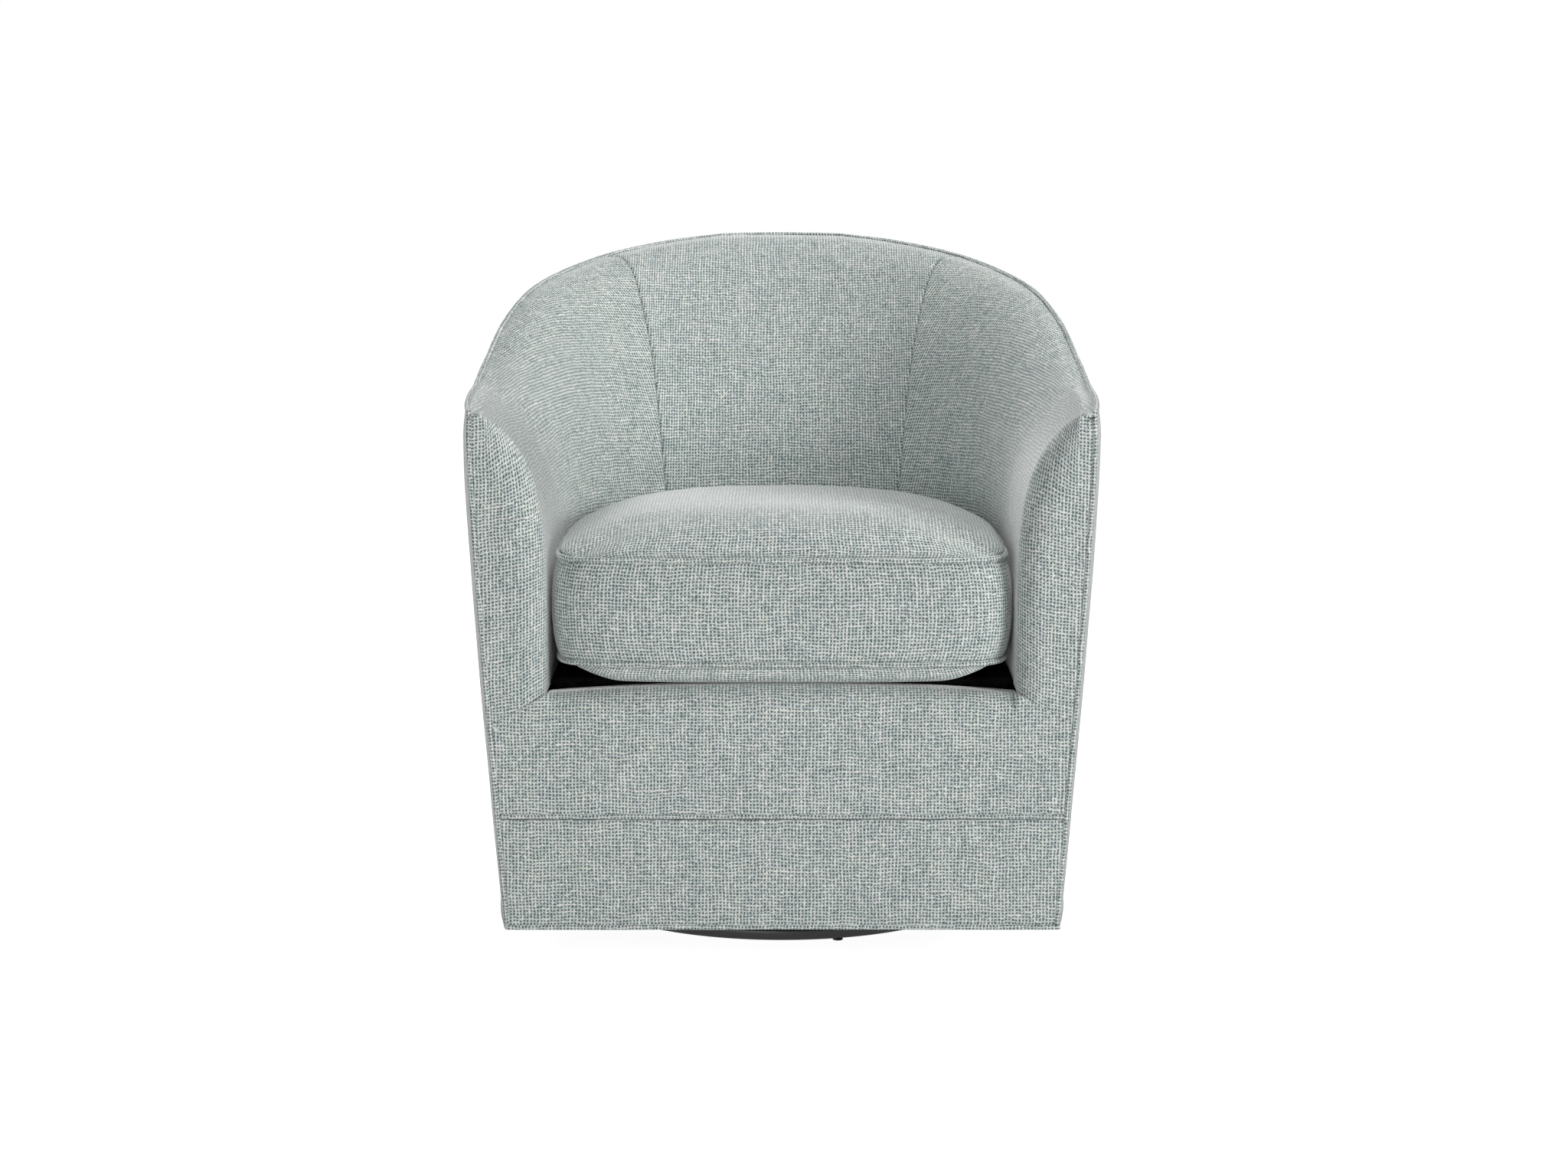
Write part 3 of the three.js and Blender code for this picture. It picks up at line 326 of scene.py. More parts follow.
def addCover(name, node, cover, place, clothOf, material):
    shape, corners = mappedGrid(cover["columns"], cover["rows"], place)
    along, up = measureGrid(corners)
    cloth = [[clothOf(r, c, along, up, corner.co) for c, corner in enumerate(row)] for r, row in enumerate(corners)]
    if cover.get("turned"):
        bmesh.ops.reverse_faces(shape, faces=shape.faces[:])
    sinkSeams(shape, corners, along, up, cover)
    layCloth(shape, corners, cloth)
    joinCorners(shape, 2 * joinGap)
    piece = addPiece(name, shape, material, "seat")
    setAll(piece.modifiers.new("padding", "SOLIDIFY"), thickness=cover["thickness"], offset=-1)
    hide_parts(node)


# Covers
upholstery = {
    "pucker": 0.0005,
    "puckerRate": 55,  # per metre
    "puckerReach": 0.022,
    "swell": 0.0007,
    "swellRate": 9,
    "fill": 0.8,
    "calm": [],  # places, with a reach, where nothing of this moves the cloth
    "crowd": 0.8,  # of the mesh towards the seams
    "lap": 0.0008,  # of a cover's edge onto the cord beside it
}
coverRoom = weltRoom - upholstery["lap"]
cordSeam = (0.0012, 0.003)  # depth and reach of the dip where a cover meets a cord
plainSeam = (0.0035, 0.005)  # and where it meets another cover
flatSeam = (0.0008, 0.003)
seamAngleAt = curveThrough([51.7, 51.8, 52.2, 53, 53.8, 54, 53.8, 52.6, 50.9])  # degrees from the side, up the back


def seamWalk(v):
    return chair["curveShare"] * (1 - seamAngleAt(v) / 90)


insideBack = {**upholstery, "columns": 120, "rows": 110, "thickness": 0.016}
insideBack["seams"] = {"start": plainSeam, "end": plainSeam, "head": cordSeam}


def addInsideBack(material):
    middle = insideBack["columns"] // 2

    def place(across, up):
        v = crowd(up, insideBack["crowd"])
        return innerPoint(lerp(-1, 1, crowd(across, insideBack["crowd"])) * seamWalk(v), v)

    def cloth(r, c, along, up, point):
        return along[r][c] - along[r][middle], up[r][c]

    addCover("inside_back", "inside_back_pad", insideBack, place, cloth, material)


armCover = {
    **upholstery,
    "columns": 140,
    "rows": 120,
    "thickness": 0.004,
    "sideShare": 0.62,  # of the columns that are on the inside of the arm
    "rollShare": 0.18,
    "rollRadius": 0.042,
    "seamRadius": 0.003,  # where the roll runs out into a seam at the arm's top
    "seamDip": 0.0006,
    "slopeDrop": 0.034,
    "footLap": 0.001,  # of its foot over the front rail's cover
    "calmReach": 0.016,
    "plainRoll": 0.1,  # share of the full roll below which the seam dips
    "dropReach": 0.3,  # share of the height over which the foot's drop fades
    "tipDrop": 0.005,  # of the front's last row along the cord at the arm's tip
    "rise": 0.17,  # slope of the weft on the front
    "riseReach": 0.05,  # how far behind the roll the cloth still slants
    "stretchReach": 0.3,  # and how far behind it the front still stretches it
}
armCover["seams"] = {"start": plainSeam, "end": flatSeam, "head": flatSeam, "foot": flatSeam}


def slopeHeight(x):  # the seam from the seat's front corner down to the outer edge
    low = chair["seatHeight"] - armCover["slopeDrop"]
    run = edgeX(low, weltRoom) - seatPlan["half"]
    return chair["seatHeight"] - armCover["slopeDrop"] * (abs(x) - seatPlan["half"]) / run


def intoArm(v):  # square to the arm's section at the front, away from the seat
    along = (innerPoint(1, min(v + nudge, 1)) - innerPoint(1, max(v - nudge, 0))).normalized()
    return Vector((along.z, 0, -along.x))


def armWalk(depth, v):
    straight = lerp(seatPlan["straight"], rimPlan["straight"], armOut(v))
    return 1 - (1 - chair["curveShare"]) * depth / straight


def rollRadius(v):
    return max(armCover["rollRadius"] * rollAt(v), armCover["seamRadius"])


def rollPoint(angle, v):
    radius = rollRadius(v)
    dip = armCover["seamDip"] * ease(armCover["plainRoll"], 0, rollAt(v)) * math.sin(2 * angle) ** 2
    depth = radius * (1 - math.sin(angle)) + dip
    point = innerPoint(armWalk(depth, v), v) + intoArm(v) * (radius * (1 - math.cos(angle)) + dip)
    point.y = chair["front"] + chair["weltOut"] * math.sin(angle) + depth
    drop = chair["seatHeight"] - slopeHeight(max(point.x, seatPlan["half"])) + armCover["footLap"]
    point.z -= drop * (1 - ease(0, armCover["dropReach"], v))
    return point


def armPoint(across, v):
    side, roll = armCover["sideShare"], armCover["rollShare"]
    if across < side:
        t = crowdStart(across / side, armCover["crowd"])
        return innerPoint(lerp(seamWalk(v), armWalk(rollRadius(v), v), t), v)
    if across < side + roll:
        return rollPoint(math.pi / 2 * (across - side) / roll, v)
    low = chair["seatHeight"] - armCover["slopeDrop"] - armCover["footLap"]
    z = lerp(low, chair["armHeight"] - armCover["tipDrop"], edgeAt(v))
    edge = Vector((edgeX(z, coverRoom), faceY, z))
    t = 1 - crowdStart((1 - across) / (1 - side - roll), armCover["crowd"])
    return rollPoint(math.pi / 2, v).lerp(edge, t)


def addInsideArm(side, name, material):
    rollEnd = round(armCover["columns"] * (armCover["sideShare"] + armCover["rollShare"]))

    def place(across, up):
        point = armPoint(across, crowd(up, armCover["crowd"]))
        return Vector((side * point.x, point.y, point.z))

    def cloth(r, c, along, up, point):
        x, z = abs(point.x), point.z
        if c >= rollEnd:
            return side * x, z + armCover["rise"] * (x - seatPlan["half"])
        end = rollPoint(math.pi / 2, crowd(r / armCover["rows"], armCover["crowd"]))
        run = along[r][rollEnd] - along[r][c]
        slanted = armCover["riseReach"] * (1 - math.exp(-run / armCover["riseReach"]))
        free = 1 - math.exp(-run / armCover["stretchReach"])
        z = lerp(end.z, chair["seatHeight"] + up[r][c], free)
        return side * (end.x - run), z + armCover["rise"] * (end.x - slanted - seatPlan["half"])

    tip = Vector((side * edgeX(chair["armHeight"], coverRoom), faceY, chair["armHeight"]))
    cover = {**armCover, "turned": side < 0, "calm": [(tip, armCover["calmReach"])]}
    addCover(f"inside_arm_{name}", f"inside_arm_pad_{name}", cover, place, cloth, material)


outsideCover = {**upholstery, "rows": 110, "thickness": 0.0035, "pucker": 0.0003, "turned": True}


def addOutside(name, start, end, columns, seams, material):
    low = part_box("outside_back_panel")[0].z - outsideCover["lap"]
    reference = columns // 2

    def place(across, up):
        walk = lerp(start, end, crowd(across, outsideCover["crowd"]))
        top = rimHeight(walk) - chair["weltRadius"] + outsideCover["lap"]
        return outerPoint(walk, lerp(low, top, crowd(up, outsideCover["crowd"])))

    def cloth(r, c, along, up, point):
        return along[r][c] - along[r][reference], point.z

    cover = {**outsideCover, "columns": columns, "seams": {"foot": cordSeam, "head": cordSeam, **seams}}
    addCover(f"{name}_cover", name, cover, place, cloth, material)


railCover = {
    **upholstery,
    "columns": 180,
    "rows": 80,
    "thickness": 0.010,
    "crown": 0.011,
    "drop": 0.002,  # by which the padding has settled between the arms
    "topRadius": 0.026,
    "fall": 0.003,  # of the top towards the deck
    "edgeRadius": 0.0015,
    "reach": 0.062,
    "outerReach": 0.012,  # of the narrow ends beside the arms
    "endReach": 0.004,  # to each side of the seat's edge over which those ends begin
    "faceShare": 0.6,  # of the rows that are on the front
    "arcShare": 0.22,
}
railCover["seams"] = {"foot": cordSeam, "start": cordSeam, "end": cordSeam}


def addFrontRail(material):
    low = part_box("front_rail_pad")[0].z - railCover["lap"]
    inner = seatPlan["half"] - chair["seamGap"]
    outer = edgeX(chair["seatHeight"] - armCover["slopeDrop"], coverRoom)
    face, arc = railCover["faceShare"], railCover["arcShare"]

    def place(across, up):
        x = lerp(-outer, outer, crowd(across, railCover["crowd"]))
        side = math.copysign(1, x)
        over = 1 - ease(inner - railCover["endReach"], inner + railCover["endReach"], abs(x))
        share = min(abs(x) / inner, 1)
        top = slopeHeight(max(abs(x), inner)) + railCover["crown"] * (1 - share**2) - railCover["drop"] * over
        radius = lerp(railCover["edgeRadius"], railCover["topRadius"], over)
        if up < face:
            y, z = faceY, lerp(low, top - radius, crowdStart(up / face, railCover["crowd"]))
        elif up < face + arc:
            angle = math.pi / 2 * (up - face) / arc
            y, z = faceY + radius * (1 - math.cos(angle)), top - radius * (1 - math.sin(angle))
        else:
            run = lerp(railCover["outerReach"], railCover["reach"] - radius, over)
            t = 1 - (1 - up) / (1 - face - arc)
            y, z = faceY + radius + run * t, top - railCover["fall"] * over * t
        if abs(x) > inner:
            limit = edgeX(min(z, chair["seatHeight"] - armCover["slopeDrop"]), coverRoom)
            x = side * lerp(inner, limit, (abs(x) - inner) / (outer - inner))
        return Vector((x, y, z))

    def cloth(r, c, along, up, point):
        return point.x, up[r][c]

    addCover("front_rail_cover", "front_rail_pad", railCover, place, cloth, material)


borderCover = {**upholstery, "columns": 150, "rows": 50, "thickness": 0.006, "puff": 0.0015}
borderCover["seams"] = {"foot": flatSeam, "head": (0.003, 0.004), "start": cordSeam, "end": cordSeam}


def addBorder(material):
    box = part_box("front_border_panel")

    def place(across, up):
        t = crowd(up, borderCover["crowd"])
        z = lerp(box[0].z - borderCover["lap"], box[1].z, t)
        x = lerp(-1, 1, crowd(across, borderCover["crowd"])) * edgeX(z, coverRoom)
        return Vector((x, faceY - borderCover["puff"] * 4 * t * (1 - t), z))

    def cloth(r, c, along, up, point):
        return point.x, point.z

    addCover("front_border_cover", "front_border_panel", borderCover, place, cloth, material)


# Cords sewn into the seams
welt = {
    "sides": 12,
    "step": 0.003,
    "uneven": 0.05,  # share of its thickness by which it varies
    "unevenRate": 60,
    "wander": 0.0003,
    "wanderRate": 14,
    "hemCorner": 0.0022,  # by which the hem's cord stands out at a front corner
    "softening": 6,  # passes that round the rim cord's corners
    "cornerSteps": 60,
    "walkSteps": 360,
    "frontSteps": 80,
}


def addWelt(name, node, body, route, closed, material):
    steps = len(route) - 1
    radius = chair["weltRadius"]

    def place(across, up):
        i = round(up * steps)
        before = route[(i - 1) % steps] if closed else route[max(i - 1, 0)]
        after = route[(i + 1) % steps] if closed else route[min(i + 1, steps)]
        point, out = route[i % steps] if closed else route[i]
        along = (after[0] - before[0]).normalized()
        out = (out - along * out.dot(along)).normalized()
        other = along.cross(out)
        a = 2 * math.pi * across + math.pi
        uneven = 1 + welt["uneven"] * noise.noise(point * welt["unevenRate"])
        drift = noise.noise(point * welt["wanderRate"]) * welt["wander"]
        return point + (out * math.cos(a) + other * math.sin(a)) * radius * uneven + other * drift

    shape, corners = mappedGrid(welt["sides"], steps, place)
    along, up = measureGrid(corners)
    cloth = [[(up[r][0], along[r][c]) for c in range(len(row))] for r, row in enumerate(corners)]
    layCloth(shape, corners, cloth)
    joinCorners(shape)
    if not closed:
        bmesh.ops.holes_fill(shape, edges=[e for e in shape.edges if e.is_boundary], sides=0)
    faceOutwards(shape)
    piece = addPiece(name, shape, material, body)
    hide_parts(node)


def evenRoute(route, closed=False):  # the same points and ways out, a step apart
    line = route + route[:1] if closed else route
    points = [point for point, _ in line]
    return [
        (points[i].lerp(points[i + 1], t), line[i][1].lerp(line[i + 1][1], t).normalized())
        for i, t in evenSpots(points, round(lengthsOf(points)[-1] / welt["step"]))
    ]


def softened(route):  # with rounder corners
    for _ in range(welt["softening"]):
        middle = [
            ((a[0] + b[0] * 2 + c[0]) / 4, (a[1] + b[1] * 2 + c[1]).normalized())
            for a, b, c in zip(route, route[1:], route[2:])
        ]
        route = [route[0]] + middle + [route[-1]]
    return route


def frontRoute(half, z):  # from left to right across the front
    return [(Vector((half * (2 * t - 1), cordY, z)), Vector((0, -1, 0))) for t in shares(welt["frontSteps"])]


def addWelts(material):
    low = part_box("rim_welt")[0].z + chair["seamGap"]
    heights = [lerp(low, chair["armHeight"], t) for t in shares(welt["cornerSteps"])]
    corner = [(Vector((edgeX(z, weltCentre), cordY, z)), Vector((1, 0, 0))) for z in heights]
    mirrored = [(Vector((-p.x, p.y, p.z)), Vector((-n.x, n.y, n.z))) for p, n in reversed(corner)]
    walks = [1 - 2 * t for t in shares(welt["walkSteps"])]
    rim = [(outerPoint(w, rimHeight(w), weltCentre), outward(w, rimPlan)) for w in walks[1:-1]]
    route = softened(evenRoute(corner + rim + mirrored))
    addWelt("rim_cord", "rim_welt", "seat", route, False, material)

    z = chair["hemHeight"] + chair["weltRadius"]
    hem = [(outerPoint(w, z, weltCentre), outward(w, rimPlan)) for w in walks]
    for i, side in ((0, 1), (-1, -1)):
        hem[i] = (Vector((hem[i][0].x + side * welt["hemCorner"], cordY, z)), Vector((side, -1, 0)).normalized())
    route = evenRoute(hem + frontRoute(edgeX(z, weltCentre), z)[1:-1], True)
    addWelt("hem_cord", "hem_welt", "seat", route, True, material)

    z = (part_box("rail_welt")[0].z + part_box("rail_welt")[1].z) / 2
    addWelt("rail_cord", "rail_welt", "seat", evenRoute(frontRoute(edgeX(z, weltRoom), z)), False, material)


# A square that is stretched over a closed outline, with its corners at four of the outline's points
def squarePoint(a, b, edges, middle):  # a and b from -1 to 1; four edges, from the front one round by the right
    r = max(abs(a), abs(b))
    if r < tiny:
        return middle.copy(), 0, 0
    p, q = a / r, b / r
    if q <= -1 + tiny:
        side, t = 0, (p + 1) / 2
    elif p >= 1 - tiny:
        side, t = 1, (q + 1) / 2
    elif q >= 1 - tiny:
        side, t = 2, (1 - p) / 2
    else:
        side, t = 3, (1 - q) / 2
    line = edges[side]
    place = t * (len(line) - 1)
    i = min(int(place), len(line) - 2)
    corner = clamp(abs(p) - q - 1, 0, 1)  # 1 at the two front corners, 0 from the middles of their edges
    return middle.lerp(line[i].lerp(line[i + 1], place - i), r), r, corner


# Loose seat cushion
cushion = {
    "segments": 60,
    "crowd": 1.9,  # power by which the mesh gets finer towards the seams
    "boxingRows": 16,
    "half": 0.275,
    "middle": seatPlan["straight"],
    "frontReach": 0.198,
    "backReach": 0.325,
    "frontPower": 7.5,
    "backPower": 2.5,
    "lowSeam": 0.370,
    "highSeam": 0.493,
    "seamInset": 0.0125,
    "weltInset": 0.008,
    "crown": {1: 0.037, -1: 0.001},  # of the top and of the underside
    "crownPower": 5,
    "seamRise": {1: 0.010, -1: 0.0228},  # of each cover straight from its seam
    "riseReach": 0.022,  # share of the way in over which it does so
    "lip": 0.007,  # by which the covers swell past the seam
    "cornerReach": 0.24,  # share of the front over which the top is pulled flat towards its corners
    "underReach": 0.060,  # and width at the sides over which the underside is
    "boxingBulge": 0.0129,
    "boxingCrowd": 0.7,
    "quarterSteps": 400,
    "ringSteps": 720,
}
cushionMiddle = Vector((0, chair["front"] + cushion["middle"], 0))


def halfOf(y):  # reach and power of the outline's back or front half
    name = "back" if y > 0 else "front"
    return cushion[f"{name}Reach"], cushion[f"{name}Power"]


def cushionEdge(angle, inset):
    c, s = math.cos(angle), math.sin(angle)
    reach, power = halfOf(s)
    x = math.copysign((cushion["half"] - inset) * abs(c) ** (2 / power), c)
    return Vector((x, cushionMiddle.y + math.copysign((reach - inset) * abs(s) ** (2 / power), s), 0))


def swollen(point, amount):  # a point of the cushion's plan moved outwards, as the seam would be with less inset
    out = point - cushionMiddle
    half, reach = [whole - cushion["seamInset"] for whole in (cushion["half"], halfOf(out.y)[0])]
    return Vector((point.x + amount * out.x / half, point.y + amount * out.y / reach, point.z))


def seamNormal(point):  # straight out from the seam
    out = point - cushionMiddle
    reach, power = halfOf(out.y)
    parts = out.x / cushion["half"], out.y / reach
    return Vector([math.copysign(abs(part) ** (power - 1), part) for part in parts] + [0]).normalized()


def addCushionFace(shape, layer, edges, seam, way):  # the cushion's top, or its underside where way is -1
    tip, count = cushion["half"] - cushion["seamInset"], cushion["segments"]
    crown, height, lip = cushion["crown"][way], cushion["seamRise"][way], cushion["lip"]
    clothAt = {}
    for corner in bmesh.ops.create_grid(shape, x_segments=count, y_segments=count, size=1)["verts"]:
        a, b = [math.copysign(1 - (1 - abs(t)) ** cushion["crowd"], t) for t in corner.co.xy]
        flat, r, front = squarePoint(a, b, edges, cushionMiddle)
        run = (1 - r) / cushion["riseReach"]
        if way > 0:
            s = clamp((1 - front) / cushion["cornerReach"], 0, 1)
        else:
            s = clamp((tip - abs(flat.x) / max(r, tiny)) / cushion["underReach"], 0, 1)
        full = lerp(1, s * (3 - s) / 2, ease(0.5, 1, r))
        rise = height * (1 - math.exp(-run)) * full + crown * (1 - r ** cushion["crownPower"])
        corner.co = swollen(flat, lip * run * math.exp(1 - run) * full) + Vector((0, 0, seam + way * rise))
        slack = flat + seamNormal(flat) * (height + lip) * math.exp(-run) * full
        clothAt[corner] = (slack.x * way, slack.y)
    faces = [face for face in shape.faces if face.verts[0] in clothAt]
    if way < 0:
        bmesh.ops.reverse_faces(shape, faces=faces)
    layOn(faces, layer, clothAt)


def addBoxing(shape, layer, edges, low, high):  # the band between the two faces
    bmesh.ops.bridge_loops(shape, edges=[e for e in shape.edges if e.is_boundary])
    rungs = [e for e in shape.edges if abs(e.verts[0].co.z - e.verts[1].co.z) > (high - low) / 2]
    bmesh.ops.subdivide_edges(shape, edges=rungs, cuts=cushion["boxingRows"] - 1, use_grid_fill=True)
    sides = [f for f in shape.faces if low < f.calc_center_median().z < high]
    line = [p for edge in edges for p in edge[:-1]]
    runs = lengthsOf(line + line[:1])
    around = {}
    for corner in {v for f in sides for v in f.verts}:
        t = crowd(clamp((corner.co.z - low) / (high - low), 0, 1), cushion["boxingCrowd"])
        flat = Vector((corner.co.x, corner.co.y, 0))
        nearest = min(range(len(line)), key=lambda i: (line[i] - flat).length_squared)
        around[corner] = runs[nearest]
        bulge = cushion["boxingBulge"] * math.sqrt(4 * t * (1 - t))
        corner.co = swollen(flat, bulge) + Vector((0, 0, lerp(low, high, t)))
    for face in sides:
        arcs = [around[loop.vert] for loop in face.loops]
        wraps = max(arcs) - min(arcs) > runs[-1] / 2
        for loop, arc in zip(face.loops, arcs):
            loop[layer].uv = (arc + runs[-1] if wraps and arc < runs[-1] / 2 else arc, loop.vert.co.z)


def addCushion(material):
    count = cushion["quarterSteps"]
    edges = []
    for start in (225, 315, 405, 495):
        ring = [cushionEdge(math.radians(start + 90 * i / count), cushion["seamInset"]) for i in range(count + 1)]
        edges.append(evenLine(ring, count))
    shape = bmesh.new()
    layer = shape.loops.layers.uv.new("cloth")
    low, high = cushion["lowSeam"], cushion["highSeam"]
    addCushionFace(shape, layer, edges, high, 1)
    addCushionFace(shape, layer, edges, low, -1)
    addBoxing(shape, layer, edges, low, high)
    faceOutwards(shape)
    shape.verts.index_update()
    pinned = [v.index for v in shape.verts if min(abs(v.co.z - low), abs(v.co.z - high)) < joinGap]
    piece = addPiece("seat_cushion_cover", shape, material, "cushion")
    inflate(piece, pinned)
    setAll(piece.modifiers.new("rounding", "SUBSURF"), levels=1, render_levels=1)
    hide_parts("seat_cushion")
    turns = [2 * math.pi * t for t in shares(cushion["ringSteps"])[:-1]]
    ring = [cushionEdge(turn, cushion["weltInset"]) for turn in turns]
    for name, z in (("low", low), ("high", high)):
        route = [(p + Vector((0, 0, z)), (p - cushionMiddle).normalized()) for p in ring]
        addWelt(f"cushion_{name}_cord", f"cushion_{name}_welt", "cushion", evenRoute(route, True), True, material)


# The cloth swells between its seams as the filling presses on it
inflation = {
    "frames": 20,
    "evening": 40,  # passes in which each corner takes its neighbours' mean shift
    "cap": 0.007,  # furthest shift
    "cloth": {
        "quality": 6,
        "mass": 0.3,
        "tension_stiffness": 18,
        "compression_stiffness": 18,
        "bending_stiffness": 0.6,
        "vertex_group_mass": "seams",
        "use_pressure": True,
        "uniform_pressure_force": 0.7,
    },
}


def inflate(piece, pinned):
    start = [v.co.copy() for v in piece.data.vertices]
    piece.vertex_groups.new(name="seams").add(pinned, 1, "REPLACE")
    swelling = piece.modifiers.new("cloth", "CLOTH")
    setAll(swelling.settings, **inflation["cloth"])
    swelling.settings.effector_weights.gravity = 0
    swelling.point_cache.frame_end = inflation["frames"]
    scene = bpy.context.scene
    for step in range(1, inflation["frames"] + 1):
        scene.frame_set(step)
    puffed = piece.evaluated_get(bpy.context.evaluated_depsgraph_get())
    moved = [v.co.copy() for v in puffed.data.vertices]
    piece.modifiers.remove(swelling)
    shifts = [b - a for a, b in zip(start, moved)]
    beside = [[] for _ in shifts]
    for edge in piece.data.edges:
        a, b = edge.vertices
        beside[a].append(b)
        beside[b].append(a)
    for corner in pinned:
        beside[corner] = [corner]
    for _ in range(inflation["evening"]):
        shifts = [sum((shifts[i] for i in near), Vector()) / len(near) for near in beside]
    floor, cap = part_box("seat_deck")[1].z + chair["seamGap"], inflation["cap"]
    for corner, old, shift in zip(piece.data.vertices, start, shifts):
        corner.co = old + shift * cap * math.tanh(shift.length / cap) / max(shift.length, tiny)
        corner.co.z = max(corner.co.z, floor)
    scene.frame_set(1)
    print(f"cushion swelled by up to {max((b - a).length for a, b in zip(start, moved)) * 1000:.1f} mm")


# Padded deck that the cushion lies on
deck = {
    "segments": 40,
    "crowd": 0.85,
    "edgeRadius": 0.008,
    "edgeDrop": 0.0048,
    "thickness": 0.0246,
    "frontGap": 0.0624,
    "middle": 0.3,  # from the front
    "backTurn": 0.37,  # place on the walk where the back edge begins
    "frontSteps": 20,
    "edgeSteps": 100,
}


def addDeck(material):
    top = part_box("seat_deck")[1].z
    front = 1 - (1 - chair["curveShare"]) * deck["frontGap"] / seatPlan["straight"]

    def line(start, end):
        walks = [lerp(start, end, t) for t in shares(deck["edgeSteps"])]
        points = [planPoint(walk, seatPlan) - outward(walk, seatPlan) * chair["seamGap"] for walk in walks]
        return evenLine(points, deck["edgeSteps"])

    turn = deck["backTurn"]
    right, back, left = line(front, turn), line(turn, -turn), line(-turn, -front)
    edges = [evenLine([left[-1], right[0]], deck["frontSteps"]), right, back, left]
    middle = Vector((0, chair["front"] + deck["middle"], 0))

    def place(across, up):
        a, b = [2 * crowd(t, deck["crowd"]) - 1 for t in (across, up)]
        flat, r, _ = squarePoint(a, b, edges, middle)
        near = clamp((flat - middle).length / max(r, tiny) * (1 - r) / deck["edgeRadius"], 0, 1)
        flat.z = top - deck["edgeDrop"] * (1 - math.sqrt(1 - (1 - near) ** 2))
        return flat

    shape, corners = mappedGrid(deck["segments"], deck["segments"], place)
    layCloth(shape, corners, [[(v.co.x, v.co.y) for v in row] for row in corners])
    piece = addPiece("seat_deck_cover", shape, material, "seat")
    setAll(piece.modifiers.new("padding", "SOLIDIFY"), thickness=deck["thickness"], offset=-1)
    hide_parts("seat_deck")


# Dust cover stapled under the frame, with a hole for the swivel
dust = {
    "columns": 160,
    "rows": 16,
    "holeRadius": 0.144,
    "thickness": 0.0009,
    "gap": 0.0001,
    "inset": 0.0054,
    "sag": 0.0012,
    "steady": 0.6,  # share of the sag that doesn't vary from staple to staple
    "edgeSteps": 300,
    "staples": 56,
    "stapleSize": (0.0011, 0.010, 0.0006),
    "stapleInset": 0.012,
    "stapleSink": 0.0002,
    "stapleSkew": 25,  # degrees
    "skewRate": 40,
}


def addDustCover(material, steel):
    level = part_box("dust_cover")[0].z + dust["thickness"] / 2 + dust["gap"]
    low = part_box("outside_back_panel")[0].z
    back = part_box("dust_cover")[0].y
    front = 1 - (1 - chair["curveShare"]) * (back - chair["front"]) / hemPlan["straight"]
    line = [outerPoint(lerp(-front, front, t), low, dust["inset"]) for t in shares(dust["edgeSteps"])]
    rim = evenLine(line + [line[0]], dust["columns"])

    def edgeAtShare(t):
        edge = rim[round(t * dust["columns"]) % dust["columns"]]
        return edge, Vector((edge.x, edge.y, 0))

    def place(across, up):
        _, flat = edgeAtShare(across)
        wave = math.sin(across * 2 * math.pi * dust["staples"] / 4)
        sag = dust["sag"] * math.sin(math.pi * up) ** 2 * lerp(wave, 1, dust["steady"])
        return flat.normalized() * lerp(dust["holeRadius"], flat.length, up) + Vector((0, 0, level + sag))

    shape, corners = mappedGrid(dust["columns"], dust["rows"], place)
    layCloth(shape, corners, [[(v.co.x, v.co.y) for v in row] for row in corners])
    joinCorners(shape)
    area = sum(f.calc_area() for f in shape.faces)
    if sum(f.normal.z for f in shape.faces) > 0:
        bmesh.ops.reverse_faces(shape, faces=shape.faces[:])
    piece = addPiece("dust_cover_sheet", shape, material, "seat")
    setAll(piece.modifiers.new("cloth", "SOLIDIFY"), thickness=dust["thickness"], offset=0)
    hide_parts("dust_cover")

    shape = bmesh.new()
    for i in range(dust["staples"]):
        edge, flat = edgeAtShare(i / dust["staples"])
        spot = edge - flat.normalized() * dust["stapleInset"]
        spot.z = level - dust["thickness"] / 2 - dust["stapleSink"]
        staple = bmesh.ops.create_cube(shape, size=1)["verts"]
        bmesh.ops.scale(shape, vec=dust["stapleSize"], verts=staple)
        skew = math.radians(dust["stapleSkew"] * noise.noise(edge * dust["skewRate"]))
        turn = Matrix.Rotation(math.atan2(edge.y, edge.x) + skew, 3, "Z")
        bmesh.ops.rotate(shape, cent=(0, 0, 0), matrix=turn, verts=staple)
        bmesh.ops.translate(shape, vec=spot, verts=staple)
    addPiece("dust_cover_staples", shape, steel, "seat")


# Swivel base
base = {
    "radius": 0.257,
    "top": 0.021,
    "low": 0.003,
    "bore": 0.014,
    "rimRadius": 0.009,
    "footRadius": 0.0025,
    "glideRadius": 0.0065,
    "glideRound": 0.001,
    "glideTaper": 0.0006,
    "glideHeight": 0.0027,
    "glideCircle": 0.250,
    "glideAngle": 16,
    "steps": 160,
    "glideSteps": 32,
    "bevel": 0.0004,
    "bevelFrom": 40,  # degrees between two faces
}


def turned(profile, steps):  # a closed profile of (radius, height) spun round the middle
    shape = bmesh.new()
    line = [shape.verts.new((r, 0, z)) for r, z in profile]
    geometry = line + [shape.edges.new(pair) for pair in zip(line, line[1:])]
    spin = {"cent": (0, 0, 0), "axis": (0, 0, 1), "angle": 2 * math.pi, "steps": steps, "use_merge": True}
    bmesh.ops.spin(shape, geom=geometry, **spin)
    joinCorners(shape, tiny)
    faceOutwards(shape)
    return shape


